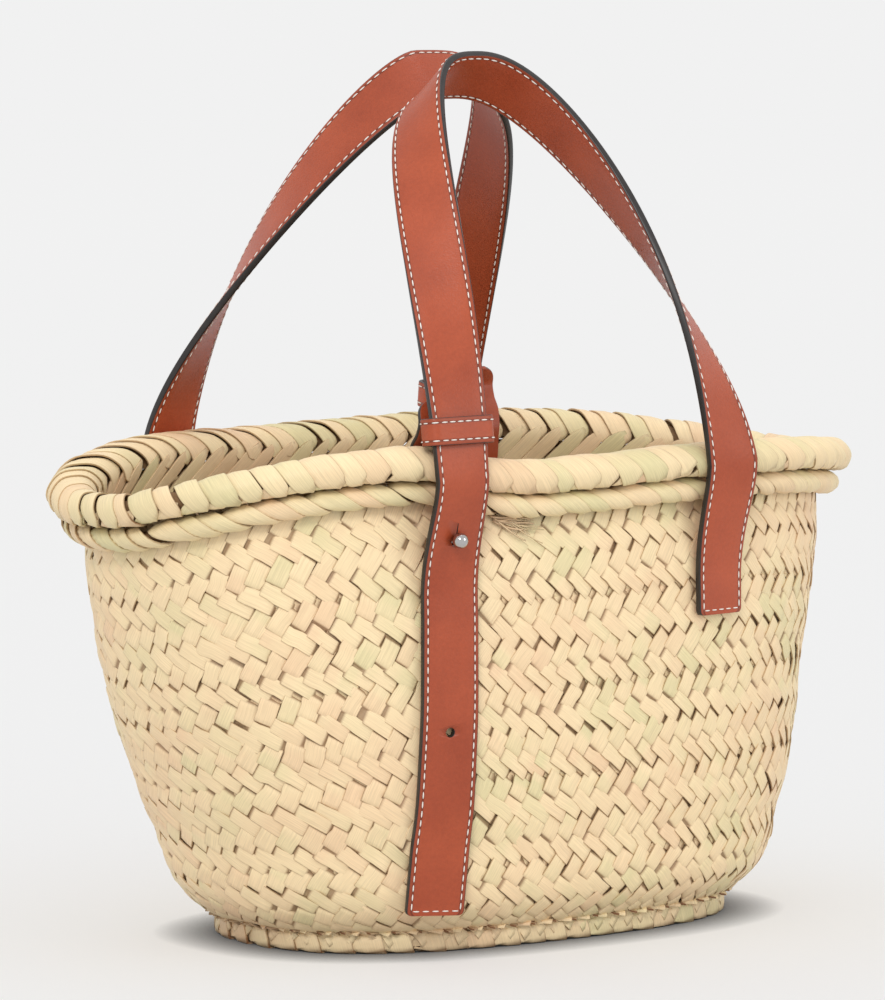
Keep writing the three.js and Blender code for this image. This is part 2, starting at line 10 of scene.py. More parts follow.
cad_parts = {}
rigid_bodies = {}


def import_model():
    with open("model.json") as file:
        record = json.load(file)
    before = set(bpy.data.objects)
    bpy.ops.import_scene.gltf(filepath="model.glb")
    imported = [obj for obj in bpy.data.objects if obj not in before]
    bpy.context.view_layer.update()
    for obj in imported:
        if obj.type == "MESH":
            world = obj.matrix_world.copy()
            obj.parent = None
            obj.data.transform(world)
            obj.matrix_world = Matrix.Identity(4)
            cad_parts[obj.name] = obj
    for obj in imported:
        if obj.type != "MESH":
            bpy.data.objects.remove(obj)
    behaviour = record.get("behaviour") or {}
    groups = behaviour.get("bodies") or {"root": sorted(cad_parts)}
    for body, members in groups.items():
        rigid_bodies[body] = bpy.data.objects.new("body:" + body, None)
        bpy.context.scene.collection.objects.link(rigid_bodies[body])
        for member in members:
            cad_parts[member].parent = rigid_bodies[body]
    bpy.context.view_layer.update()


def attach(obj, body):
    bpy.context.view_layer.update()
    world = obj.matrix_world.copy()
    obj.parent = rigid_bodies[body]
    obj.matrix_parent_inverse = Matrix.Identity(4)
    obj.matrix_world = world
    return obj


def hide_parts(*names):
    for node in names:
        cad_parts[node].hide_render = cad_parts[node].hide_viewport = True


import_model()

# Camera, light and floor
# The photograph's view is a long lens, 37 degrees round from the front towards -X and a little above
# the rim. Three soft lamps light the bag, the strongest from the upper left, and it stands on a wide
# sheet of pale paper under an even white sky.
MM = 0.001
SENSOR = 36.0
CAMERA_AT = Vector((-1540.6, -2044.5, 394.0)) * MM
CAMERA_AIM = Vector((0.0, 0.0, 100.0)) * MM
FOCAL_PIXELS = 6180.0
PHOTO_SIZE = (885, 1000)
AIM_PIXEL = (458.9, 682.8)

camera_data = bpy.data.cameras.new("camera")
camera = bpy.data.objects.new("camera", camera_data)
bpy.context.collection.objects.link(camera)
camera_data.sensor_width = SENSOR
camera_data.lens = SENSOR * FOCAL_PIXELS / max(PHOTO_SIZE)
camera_data.clip_start = 0.1
camera_data.clip_end = 50.0
camera_data.shift_x = (PHOTO_SIZE[0] / 2 - AIM_PIXEL[0]) / max(PHOTO_SIZE)
camera_data.shift_y = (AIM_PIXEL[1] - PHOTO_SIZE[1] / 2) / max(PHOTO_SIZE)
camera.location = CAMERA_AT
camera.rotation_mode = "QUATERNION"
camera.rotation_quaternion = (CAMERA_AIM - CAMERA_AT).to_track_quat("-Z", "Y")
bpy.context.scene.camera = camera
bpy.context.scene.view_settings.view_transform = "Standard"


def finish_mesh(shape, name, *materials):
    """A mesh object from a bmesh, linked to the scene and shaded smooth."""
    mesh = bpy.data.meshes.new(name)
    for face in shape.faces:
        face.smooth = True
    shape.to_mesh(mesh)
    shape.free()
    for material in materials:
        mesh.materials.append(material)
    piece = bpy.data.objects.new(name, mesh)
    bpy.context.collection.objects.link(piece)
    return piece


def node_material(name):
    """A new material with its node tree, its main shader and a short way to add a linked node."""
    material = bpy.data.materials.new(name)
    material.use_nodes = True
    tree = material.node_tree
    shader = tree.nodes["Principled BSDF"]

    def add(kind, inputs=None, **settings):
        node = tree.nodes.new(kind)
        for key, value in settings.items():
            setattr(node, key, value)
        for key, value in (inputs or {}).items():
            if isinstance(value, bpy.types.NodeSocket):
                tree.links.new(value, node.inputs[key])
            else:
                node.inputs[key].default_value = value
        return node

    def join(source, target):
        tree.links.new(source, target)

    return material, shader, add, join


SKY = 0.88
PAPER_GLOW = 0.39
PAPER_DARK = (0.60, 0.60, 0.60, 1)
PAPER_LIGHT = (0.62, 0.62, 0.62, 1)
CONTACT_SHADOW_REACH = 22 * MM
FLOOR_RADIUS = 14.0

paper, shader, add, join = node_material("studio_paper")
grain = add("ShaderNodeTexNoise", {"Scale": 3.0, "Detail": 2.0})
tint = add("ShaderNodeMix", {0: grain.outputs["Fac"]}, data_type="RGBA")
tint.inputs[6].default_value = PAPER_DARK
tint.inputs[7].default_value = PAPER_LIGHT
# Painted contact shadow: ambient occlusion darkens the paper's colour and its glow near the bag.
contact_shadow = add(
    "ShaderNodeAmbientOcclusion", {"Color": tint.outputs[2], "Distance": CONTACT_SHADOW_REACH}, samples=8
)
join(contact_shadow.outputs["Color"], shader.inputs["Base Color"])
join(contact_shadow.outputs["AO"], shader.inputs["Emission Color"])
shader.inputs["Roughness"].default_value = 1.0
shader.inputs["Specular IOR Level"].default_value = 0.0
shader.inputs["Emission Strength"].default_value = PAPER_GLOW * SKY

shape = bmesh.new()
bmesh.ops.create_circle(shape, cap_ends=True, segments=64, radius=FLOOR_RADIUS)
floor = finish_mesh(shape, "studio_floor", paper)

world = bpy.data.worlds.new("studio")
world.use_nodes = True
world.node_tree.nodes["Background"].inputs["Color"].default_value = (1, 1, 1, 1)
world.node_tree.nodes["Background"].inputs["Strength"].default_value = SKY
bpy.context.scene.world = world

lit_pieces = bpy.data.collections.new("lit_pieces")
for name, place, size, share in (
    ("key", (-2.0, -1.9, 2.0), 0.9, 0.34),
    ("fill", (1.6, -2.6, 1.2), 1.4, 0.14),
    ("top", (0.2, 0.3, 2.6), 1.2, 0.16),
):
    lamp_data = bpy.data.lights.new(name, "AREA")
    lamp_data.size = size
    lamp_data.energy = share * (math.pi * Vector(place).length) ** 2
    lamp = bpy.data.objects.new(name, lamp_data)
    lamp.location = place
    lamp.rotation_mode = "QUATERNION"
    lamp.rotation_quaternion = (Vector((0, 0, 0.15)) - lamp.location).to_track_quat("-Z", "Y")
    bpy.context.collection.objects.link(lamp)
    lamp.light_linking.receiver_collection = lit_pieces

# Plaited wall
# Two sets of palm straw strips cross over two and under two, so rows of slanting floats lean left and
# right by turns. Bands of the plait are stacked from the foot ring up to the cord under the rim.
OVAL_POWER = 2.6
BODY_HEIGHT = 204 * MM
WALL_LENGTH = 341 * MM
WALL_DEPTH = 178.2 * MM
# Each row gives a share of the height, then shares of the length, the depth and the foot's shift there.
WALL_ROWS = np.array(
    [
        (0.04, 0.666, 0.77, 1),
        (0.05, 0.701, 0.814, 1),
        (0.1, 0.762, 0.902, 1),
        (0.15, 0.796, 0.942, 0.95),
        (0.22, 0.821, 0.958, 0.83),
        (0.3, 0.86, 0.983, 0.66),
        (0.4, 0.893, 0.994, 0.38),
        (0.5, 0.923, 1, 0.06),
        (0.6, 0.949, 0.997, 0),
        (0.7, 0.974, 0.992, 0),
        (0.77, 0.987, 0.979, 0),
        (0.84, 0.994, 0.956, 0),
        (0.9, 0.999, 0.93, 0),
        (0.96, 1, 0.908, 0),
    ]
)
# The rim's height round the bag is a share of the body's height at each turn in degrees.
RIM_TURNS = (0, 30, 50, 75, 100, 122, 150, 178, 205, 230, 249, 263, 280, 305, 335)
RIM_SHARES = (
    0.955, 0.978, 1, 1.012, 0.999, 0.994, 0.953, 0.919, 0.958, 1.001, 1.014, 0.98, 0.99, 0.988, 0.967,
)
ROLL_HEIGHT = 13.5 * MM
CORD_HEIGHT = 8.8 * MM
FLOOR_HEIGHT = 8.3 * MM
FOOT_SHIFT = 7.2 * MM
HEM_REACH = 8 * MM


def look_up(keys, values, at):
    """Smooth values between the rows of a table, as the CAD source works them out."""
    keys, values, at = np.asarray(keys, float), np.asarray(values, float), np.asarray(at, float)
    last = len(keys) - 1
    high = np.clip(np.searchsorted(keys, at), 1, last)
    low, before, after = high - 1, np.maximum(high - 2, 0), np.minimum(high + 1, last)
    span = keys[high] - keys[low]
    rise = (values[high] - values[before]) / (keys[high] - keys[before]) * span
    fall = (values[after] - values[low]) / (keys[after] - keys[low]) * span
    share = np.clip((at - keys[low]) / span, 0, 1)
    square, cube = share**2, share**3
    return (
        (2 * cube - 3 * square + 1) * values[low]
        + (cube - 2 * square + share) * rise
        + (3 * square - 2 * cube) * values[high]
        + (cube - square) * fall
    )


def rim_top(turn):
    keys = [RIM_TURNS[-1] - 360, *RIM_TURNS, 360 + RIM_TURNS[0], 360 + RIM_TURNS[1]]
    shares = [RIM_SHARES[-1], *RIM_SHARES, RIM_SHARES[0], RIM_SHARES[1]]
    return BODY_HEIGHT * look_up(keys, shares, np.mod(turn, 360))


def wall_halves(height, outwards=0.0):
    share = height / BODY_HEIGHT
    return (
        WALL_LENGTH / 2 * look_up(WALL_ROWS[:, 0], WALL_ROWS[:, 1], share) + outwards,
        WALL_DEPTH / 2 * look_up(WALL_ROWS[:, 0], WALL_ROWS[:, 2], share) + outwards,
    )


def wall_shift(height):
    return FOOT_SHIFT * look_up(WALL_ROWS[:, 0], WALL_ROWS[:, 3], height / BODY_HEIGHT)


def oval(halves, turn):
    angle = np.radians(turn)
    along, side = np.cos(angle), np.sin(angle)
    power = 2 / OVAL_POWER
    return (
        halves[0] * np.sign(along) * np.abs(along) ** power,
        halves[1] * np.sign(side) * np.abs(side) ** power,
    )


def round_length(halves):
    x, y = oval(halves, np.linspace(0, 360, 3601))
    return float(np.hypot(np.diff(x), np.diff(y)).sum())


even_turns = np.linspace(0, 360, 14401)
even_x, even_y = oval((WALL_LENGTH / 2, WALL_DEPTH / 2), even_turns)
even_shares = np.concatenate([[0], np.hypot(np.diff(even_x), np.diff(even_y)).cumsum()])
even_shares /= even_shares[-1]


def turn_at(share):
    """Turn angle at a share of the way round, evenly spaced along the wall."""
    return np.interp(np.mod(share, 1), even_shares, even_turns)


rise_heights = np.linspace(FLOOR_HEIGHT - HEM_REACH, 0.2, 900)
rise_lengths, rise_depths = wall_halves(rise_heights)
rise_steps = np.hypot(np.diff(rise_heights), (np.diff(rise_lengths) + np.diff(rise_depths)) / 2)
rise_runs = np.concatenate([[0], rise_steps.cumsum()]) - HEM_REACH


def skin(place, across, up, out):
    """Points that stand out from a surface: place gives its point at two distances over it."""
    step = 0.3 * MM
    here = place(across, up)
    sideways = place(across + step, up) - place(across - step, up)
    upwards = place(across, up + step) - place(across, up - step)
    normal = np.cross(sideways, upwards)
    normal /= np.linalg.norm(normal, axis=-1, keepdims=True)
    return here + normal * out[..., None]


def strip_blank(stations, sides=(-1.0, -0.9, 0.0, 0.9, 1.0)):
    """One flat straw strip with thickness: columns are station, place across and face, 1 or 0."""
    shape = bmesh.new()
    bmesh.ops.create_grid(shape, x_segments=stations - 1, y_segments=len(sides) - 1, size=1.0)
    bmesh.ops.solidify(shape, geom=shape.faces[:], thickness=0.1)
    shape.normal_update()
    heights = np.array([vertex.co.z for vertex in shape.verts])
    middle = (heights.max() + heights.min()) / 2
    for vertex in shape.verts:
        vertex.co.x = round((vertex.co.x + 1) / 2 * (stations - 1))
        vertex.co.y = sides[round((vertex.co.y + 1) / 2 * (len(sides) - 1))]
        vertex.co.z = float(vertex.co.z > middle)
    bmesh.ops.recalc_face_normals(shape, faces=shape.faces[:])
    points = np.array([vertex.co for vertex in shape.verts])
    faces = np.array([[vertex.index for vertex in face.verts] for face in shape.faces])
    shape.free()
    broad = np.ptp(points[faces][:, :, 2], axis=1) < 0.5
    return points, faces, broad


def patches(points):
    """Slow change of tone over the bag, about -1 to 1, as bundles of straw differ."""
    total = 0
    for x, y, z, start in ((61, 35, 48, 0.4), (-38, 57, 83, 2.1), (24, -71, -66, 4.4), (90, 44, 29, 5.2)):
        total = total + np.sin(points @ np.array((x, y, z)) + start)
    return total / 2.2


def lay_strips(
    name, place, blank, across, up, half, lift, tone, shade, thickness, bow, roll=None, slant=None
):
    """One mesh of many straw strips laid on a surface, with their tone, painted shade and lengthwise UV."""
    points, faces, broad = blank
    station = points[:, 0].astype(int)
    side, top = points[:, 1], points[:, 2]
    roll = np.zeros_like(across) if roll is None else roll
    slant = np.zeros_like(across) if slant is None else slant
    run_x, run_y = np.gradient(across, axis=1), np.gradient(up, axis=1)
    length = np.hypot(run_x, run_y)
    run_x, run_y = run_x / length, run_y / length
    width = half[:, station] * side
    slid = slant[:, station] * side
    x = across[:, station] - run_y[:, station] * width + run_x[:, station] * slid
    y = up[:, station] + run_x[:, station] * width + run_y[:, station] * slid
    out = lift[:, station] + bow * (1 - side**2) + roll[:, station] * width
    out = out + (top - 0.5) * thickness
    verts = skin(place, x, y, out)
    count = len(across)
    mesh = bpy.data.meshes.new(name)
    all_faces = (faces[None] + (np.arange(count) * len(points))[:, None, None]).reshape(-1, 4)
    mesh.vertices.add(count * len(points))
    mesh.vertices.foreach_set("co", verts.astype(np.float32).ravel())
    mesh.loops.add(all_faces.size)
    mesh.loops.foreach_set("vertex_index", all_faces.ravel().astype(np.int32))
    mesh.polygons.add(len(all_faces))
    mesh.polygons.foreach_set("loop_start", np.arange(0, all_faces.size, 4, dtype=np.int32))
    mesh.polygons.foreach_set("use_smooth", np.tile(broad, count))
    mesh.update(calc_edges=True)
    along = np.cumsum(length, axis=1) + (np.arange(count) * 0.37)[:, None]
    uv = np.stack([width, along[:, station]], axis=-1).reshape(-1, 2)
    layer = mesh.uv_layers.new(name="straw")
    layer.data.foreach_set("uv", uv[all_faces.ravel()].astype(np.float32).ravel())
    # Painted shade: the outer tenth of each strip's width darkens, more on its under face.
    edge = np.clip((np.abs(side) - 0.9) * 10, 0, 1)[None] * (0.45 + 0.35 * (1 - top))
    tones = np.broadcast_to(tone[:, None], x.shape) if tone.ndim == 1 else tone[:, station]
    values = {
        "tone": tones + 0.16 * patches(verts),
        "shade": np.clip(edge + shade[:, station], 0, 1),
    }
    for key, value in values.items():
        data = mesh.attributes.new(key, "FLOAT", "POINT").data
        data.foreach_set("value", value.astype(np.float32).ravel())
    piece = bpy.data.objects.new(name, mesh)
    bpy.context.collection.objects.link(piece)
    return piece


FIBRE_STRETCH = (2600, 70, 1)
HAIR_STRETCH = (6500, 130, 1)
# Brown of the painted shade in the crevices between strips.
CREVICE_SHADE_BROWN = (0.19, 0.08, 0.028, 1)


def straw_material(name, pale, warm, green, streak=0.36):
    """Palm straw: long fibres, a tone for each strip and painted brown shade where strips meet and tuck
    under.
    """
    material, shader, add, join = node_material(name)
    uv = add("ShaderNodeUVMap", uv_map="straw")
    stretch = add("ShaderNodeVectorMath", {0: uv.outputs[0]}, operation="MULTIPLY")
    stretch.inputs[1].default_value = FIBRE_STRETCH
    fibre = add("ShaderNodeTexNoise", {"Vector": stretch.outputs[0], "Scale": 1.0, "Detail": 3.0})
    fine = add("ShaderNodeVectorMath", {0: uv.outputs[0]}, operation="MULTIPLY")
    fine.inputs[1].default_value = HAIR_STRETCH
    hair = add("ShaderNodeTexNoise", {"Vector": fine.outputs[0], "Scale": 1.0, "Detail": 2.0})
    tone = add("ShaderNodeAttribute", attribute_name="tone")
    place = add("ShaderNodeTexCoord")
    cloud = add("ShaderNodeTexNoise", {"Vector": place.outputs["Object"], "Scale": 45.0, "Detail": 2.0})
    shifted = add("ShaderNodeMath", {0: cloud.outputs["Fac"], 1: 0.5}, operation="SUBTRACT")
    mixed = add(
        "ShaderNodeMath", {0: shifted.outputs[0], 1: 0.5, 2: tone.outputs["Fac"]}, operation="MULTIPLY_ADD"
    )
    ramp = add("ShaderNodeValToRGB", {"Fac": mixed.outputs[0]})
    stops = ramp.color_ramp.elements
    stops[0].position, stops[0].color = 0.05, (*green, 1)
    stops[1].position, stops[1].color = 0.95, (*warm, 1)
    stops.new(0.42).color = (*pale, 1)
    darkest = 1.0 - streak * 0.42
    streaks = add("ShaderNodeMapRange", {"Value": fibre.outputs["Fac"], 1: 0.3, 2: 0.75, 3: darkest, 4: 1.06})
    streaked = add("ShaderNodeMix", {0: 1.0}, data_type="RGBA", blend_type="MULTIPLY")
    join(ramp.outputs["Color"], streaked.inputs[6])
    join(streaks.outputs[0], streaked.inputs[7])
    # The shade attribute mixes in the painted shade brown.
    shade = add("ShaderNodeAttribute", attribute_name="shade")
    deep = add("ShaderNodeMath", {0: shade.outputs["Fac"], 1: 1.4}, operation="POWER")
    brown = add("ShaderNodeMix", {0: deep.outputs[0]}, data_type="RGBA")
    join(streaked.outputs[2], brown.inputs[6])
    brown.inputs[7].default_value = CREVICE_SHADE_BROWN
    join(brown.outputs[2], shader.inputs["Base Color"])
    both = add("ShaderNodeMath", {0: fibre.outputs["Fac"], 1: hair.outputs["Fac"]}, operation="ADD")
    bump = add("ShaderNodeBump", {"Height": both.outputs[0], "Strength": 0.35, "Distance": 0.00018})
    join(bump.outputs[0], shader.inputs["Normal"])
    shader.inputs["Roughness"].default_value = 0.5
    shader.inputs["Specular IOR Level"].default_value = 0.4
    return material


straw = straw_material("plaited_straw", (0.88, 0.69, 0.42), (0.84, 0.60, 0.37), (0.76, 0.65, 0.37))

BAND_STEPS = 8
BAND_COUNT = 5
STRIP_SPACING = 9.0 * MM
STEP_RISE = 4.35 * MM
CORD_TUCK = 2.5 * MM
WALL_MIDDLE = -1.5 * MM
WEAVE_HEIGHT = 0.72 * MM
STRAW_THICKNESS = 0.7 * MM
STRAW_BOW = 0.2 * MM
END_STEPS = 0.45
END_DIVE = 1.3 * MM
HEM_UNEVEN = (0.2, 2.2)
HEM_PROUD = 2.0 * MM
BAND_BULGE = 0.75 * MM
# Each set of strips has a lean in strips per step, the face it starts on, and half its width in mm.
STRIP_SETS = ((-0.633, 1, 3.2), (0.367, -1, 3.85))
rng = np.random.default_rng(11)


def wall_place(count, low_step):
    """Surface of the wall for a band with that many strips, from its lowest step up."""
    total = BAND_STEPS * BAND_COUNT * STEP_RISE

    def place(across, up):
        turn = turn_at(across / (STRIP_SPACING * count))
        edge = rim_top(turn) - ROLL_HEIGHT - CORD_HEIGHT + CORD_TUCK
        top_run = np.interp(edge, rise_heights, rise_runs)
        run = (up + low_step * STEP_RISE) / total * top_run
        height = np.interp(run, rise_runs, rise_heights)
        x, y = oval(wall_halves(height), turn)
        return np.stack([x + wall_shift(height), y, height], axis=-1)

    return place


def wave(phase):
    """Over, 1, and under, -1, twice two steps."""
    return np.tanh(7 * np.sin(np.pi * phase / 2))


half_period = np.array([0.0, 0.15, 0.5, 1.0, 1.5, 1.85])
inner_steps = np.concatenate([half_period + 2 * row for row in range(BAND_STEPS // 2)])
steps = np.concatenate(
    [[-END_STEPS, -0.2], inner_steps, [BAND_STEPS, BAND_STEPS + 0.25, BAND_STEPS + END_STEPS]]
)
wall_blank = strip_blank(len(steps))


def plait(name, place, count, bulge=0.0, hem=0.0):
    """One band of the plait: both sets of strips, each with its own widths, tones and small faults."""
    sets = []
    float_of = np.clip(np.floor(steps / 2 + 0.25), 0, BAND_STEPS // 2).astype(int)

    def each(spread):
        return rng.normal(0, spread, (count, BAND_STEPS // 2 + 1))[:, float_of]

    for lean, over, half in STRIP_SETS:
        start = np.arange(count)[:, None] * 1.0
        sway_turns = start / count * 9 + steps[None] / BAND_STEPS * 0.7 + rng.random()
        sway = 0.12 * np.sin(2 * np.pi * sway_turns)
        across = (start + lean * (steps[None] - 0.5) + sway + each(0.03)) * STRIP_SPACING
        bounce = 0.11 * np.sin(2 * np.pi * (start / count * 13 + rng.random())) + each(0.035)
        up = (steps[None] + bounce) * STEP_RISE
        height = over * wave(steps)[None]
        ends = np.clip(np.maximum(-steps, steps - BAND_STEPS) / END_STEPS, 0, 1)[None]
        if hem:
            below = np.clip(-steps / END_STEPS, 0, 1)
            up = up - (over > 0) * below * rng.uniform(*HEM_UNEVEN, (count, 1)) * MM
            height = np.where(steps < 0.5, over, height)
            ends = np.where(steps < 0.5, 0, ends)
        lift = WALL_MIDDLE + height * (1 - ends) * WEAVE_HEIGHT - ends * END_DIVE + each(0.09) * MM
        lift = lift + bulge * (0.7 - (2 * steps / BAND_STEPS - 1) ** 2)
        lift = lift + hem * np.clip((0.5 - steps) / 0.7, 0, 1) * (over > 0)
        under = np.clip(-height, 0, 1)
        dive = np.clip(1 - np.abs(height), 0, 1)
        width = half * MM * np.clip(1 + rng.normal(0, 0.05, (count, 1)) + each(0.055), 0.82, 1.12)
        width = width * (1 + 0.1 * under)
        tone = 0.46 + rng.normal(0, 0.11, (count, 1)) + each(0.07)
        odd = rng.random((count, BAND_STEPS // 2 + 1))[:, float_of]
        tone = tone + np.where(odd > 0.965, 0.25, 0) - np.where(odd < 0.03, 0.25, 0)
        # Painted shade: parts under another strip and the dives where a strip passes under are darkened.
        sets.append(
            (across, up, width, lift, tone, under * 0.7 + dive * 0.8 + 0 * across,
             0.05 + rng.normal(0, 0.04, (count, 1)) + each(0.04))
        )
    across, up, half, lift, tone, shade, roll = (np.concatenate(parts) for parts in zip(*sets))
    piece = lay_strips(
        name, place, wall_blank, across, up, half, lift, tone, shade,
        thickness=STRAW_THICKNESS, bow=STRAW_BOW, roll=roll,
    )
    piece.data.materials.append(straw)
    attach(piece, "root")
    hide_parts("basket_shell")


for band in range(BAND_COUNT):
    middle = np.interp((band + 0.5) * BAND_STEPS * STEP_RISE, rise_runs, rise_heights)
    count = round(round_length(wall_halves(middle)) / STRIP_SPACING)
    hem = 0.0 if band else HEM_PROUD
    plait(f"plait_band_{band + 1}", wall_place(count, band * BAND_STEPS), count, BAND_BULGE, hem)

# Basket floor
# The same plait lies flat inside the foot ring in two bands, one within the other, and a narrow bundle
# of straw closes the gap that they leave along the middle.
FLOOR_MIDDLE = FLOOR_HEIGHT + 1.5 * MM
FLOOR_FACE = FLOOR_MIDDLE + 1.5 * MM
FLOOR_BANDS = 2
FLOOR_SEAM_WIDTH = 9 * MM
SEAM_THICKNESS = 1.6 * MM
SEAM_LAP = 4 * MM
floor_halves = wall_halves(FLOOR_HEIGHT)
floor_reach = floor_halves[1] - FLOOR_SEAM_WIDTH / 2


def floor_place(count, band):
    """Flat floor for a band with that many strips, from its outer edge inwards."""

    def place(across, up):
        turn = turn_at(across / (STRIP_SPACING * count))
        inset = (up / (BAND_STEPS * STEP_RISE) + band) * floor_reach / FLOOR_BANDS
        x, y = oval((floor_halves[0] - inset, floor_halves[1] - inset), turn)
        return np.stack([x + FOOT_SHIFT, y, FLOOR_FACE + 0 * x], axis=-1)

    return place


for band in range(FLOOR_BANDS):
    inset = (band + 0.4) * floor_reach / FLOOR_BANDS
    count = round(round_length((floor_halves[0] - inset, floor_halves[1] - inset)) / STRIP_SPACING)
    plait(f"floor_band_{band + 1}", floor_place(count, band), count)


def speckled(name, dark, light, scale, detail, roughness, metallic=0.0):
    """A finish that changes between two colours in small specks."""
    material, shader, add, join = node_material(name)
    place = add("ShaderNodeTexCoord")
    specks = add("ShaderNodeTexNoise", {"Vector": place.outputs["Object"], "Scale": scale, "Detail": detail})
    ramp = add("ShaderNodeValToRGB", {"Fac": specks.outputs["Fac"]})
    ramp.color_ramp.elements[0].color = (*dark, 1)
    ramp.color_ramp.elements[1].color = (*light, 1)
    join(ramp.outputs["Color"], shader.inputs["Base Color"])
    shader.inputs["Roughness"].default_value = roughness
    shader.inputs["Metallic"].default_value = metallic
    return material


bundle_straw = speckled("bundle_straw", (0.10, 0.05, 0.02), (0.38, 0.22, 0.10), 400.0, 3.0, 0.8)
shape = bmesh.new()
bmesh.ops.create_cube(shape, size=1.0)
bmesh.ops.subdivide_edges(shape, edges=shape.edges[:], cuts=6, use_grid_fill=True)
seam_size = (2 * (floor_halves[0] - floor_reach) + 2 * SEAM_LAP, FLOOR_SEAM_WIDTH, SEAM_THICKNESS)
bmesh.ops.scale(shape, verts=shape.verts[:], vec=seam_size)
bmesh.ops.translate(shape, verts=shape.verts[:], vec=(FOOT_SHIFT, 0, FLOOR_MIDDLE))
floor_seam = finish_mesh(shape, "floor_seam", bundle_straw)
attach(floor_seam, "root")
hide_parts("basket_shell")

# Rim roll
# A thick bundle of straw wrapped by broad leaves that slant over the mouth's edge. Their pointed
# ends are tucked in outside and inside, where shorter leaves lean the other way.
ROLL_WIDTH = 17.8 * MM
ROLL_INSIDE = 4 * MM
ROLL_CORE_DEPTH = 2.6 * MM
ROLL_SECTION = (
    (0.8, 0), (1, 0.28), (1, 0.62), (0.78, 0.95), (0.5, 1), (0.2, 0.9), (0, 0.55), (0, 0.15), (0.07, 0),
)


def closed_section(points, width, height):
    """Smooth closed outline through a section's corners, by distance along it."""
    corners = np.array(points, float) * (width, height)
    count = len(corners)
    dense = []
    for index in range(count):
        p0, p1, p2, p3 = (corners[(index + step) % count] for step in (-1, 0, 1, 2))
        t = np.linspace(0, 1, 24, endpoint=False)[:, None]
        dense.append(
            0.5 * (2 * p1 + (p2 - p0) * t + (2 * p0 - 5 * p1 + 4 * p2 - p3) * t**2
                   + (3 * p1 - p0 - 3 * p2 + p3) * t**3)
        )
    outline = np.concatenate([*dense, corners[:1]])
    runs = np.concatenate([[0], np.hypot(*np.diff(outline, axis=0).T).cumsum()])
    length = runs[-1]

    def at(run):
        run = np.mod(run, length)
        return np.interp(run, runs, outline[:, 0]), np.interp(run, runs, outline[:, 1])

    return at, length


roll_section, roll_girth = closed_section(ROLL_SECTION, ROLL_WIDTH, ROLL_HEIGHT)
rim_round = round_length(wall_halves(BODY_HEIGHT, ROLL_WIDTH - ROLL_INSIDE))


def roll_place(across, up):
    turn = turn_at(across / rim_round)
    out, rise = roll_section(up)
    x, y = oval(wall_halves(BODY_HEIGHT, out - ROLL_INSIDE), turn)
    return np.stack([x, y, rim_top(turn) - ROLL_HEIGHT + rise], axis=-1)


def core(name, place, round_run, girth, inset, stations, sides):
    """Closed ring under the wraps: a grid bent round the rim and joined to itself."""
    shape = bmesh.new()
    bmesh.ops.create_grid(shape, x_segments=stations, y_segments=sides, size=1.0)
    flat = np.array([vertex.co for vertex in shape.verts])
    across, up = (flat[:, 0] + 1) / 2 * round_run, (flat[:, 1] + 1) / 2 * girth
    for vertex, point in zip(shape.verts, skin(place, across, up, np.full(len(flat), -inset))):
        vertex.co = point
    bmesh.ops.remove_doubles(shape, verts=shape.verts[:], dist=0.02 * MM)
    bmesh.ops.recalc_face_normals(shape, faces=shape.faces[:])
    return finish_mesh(shape, name, bundle_straw)


roll_core = core("rim_core", roll_place, rim_round, roll_girth, ROLL_CORE_DEPTH, 220, 20)
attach(roll_core, "root")
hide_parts("rim_roll")

wrap_straw = straw_material("wrap_straw", (0.86, 0.68, 0.41), (0.80, 0.56, 0.34), (0.72, 0.63, 0.35), 0.4)
LEAF_PITCH = 10.8 * MM
LEAF_LEAN = 0.68
LEAF_END = 2.5 * MM
SLANT_END = 8 * MM
SHADOW_LINE_WIDTH = 1.3 * MM
leaf_count = round(rim_round / LEAF_PITCH)


def leaves(
    name, place, count, pitch, low, high, lean, half, stations,
    lift=-0.6 * MM, dive=1.1 * MM, bow=0.7 * MM, thickness=0.9 * MM, points=(0.3, 0.3), taper=6 * MM,
    slant=0.0, bend=0.0, roll=0.1, jitter=0.06, ragged=0.5, uneven=0.07, shadow_line=None,
):
    """Wrapping leaves along a rim, each from one height on its section to another."""
    share = np.linspace(0, 1, stations)[None]
    start = (np.arange(count)[:, None] + rng.normal(0, jitter, (count, 1))) * pitch
    lows = low + rng.normal(0, ragged, (count, 1)) * MM
    up = lows + (high - lows) * share
    across = start - lean * (up - low) + bend * np.sin(np.pi * share)
    width = half * (1 + rng.normal(0, uneven, (count, 1)))
    ends = 0
    for point, way in zip(points, (up - low, high - up)):
        width = width * (1 - (1 - point) * np.clip(1 - way / taper, 0, 1) ** 1.6)
        ends = ends + np.clip(1 - way / LEAF_END, 0, 1)
    # Painted shade where the leaf ends tuck under.
    shade = np.clip(ends, 0, 1) * 0.35
    # Painted contact shadow: a dark line at that height on the section, where the wraps meet the ground.
    if shadow_line is not None:
        shade = shade + 0.9 * np.exp(-(((up - shadow_line) / SHADOW_LINE_WIDTH) ** 2))
    return lay_strips(
        name, place, strip_blank(stations), across, up, width, lift - ends * dive,
        np.clip(rng.normal(0.45, 0.2, count), 0, 1), shade, thickness=thickness, bow=bow,
        roll=rng.normal(roll, 0.05, (count, 1)) + 0 * up,
        slant=slant * np.clip(1 - (up - low) / SLANT_END, 0, 1),
    )


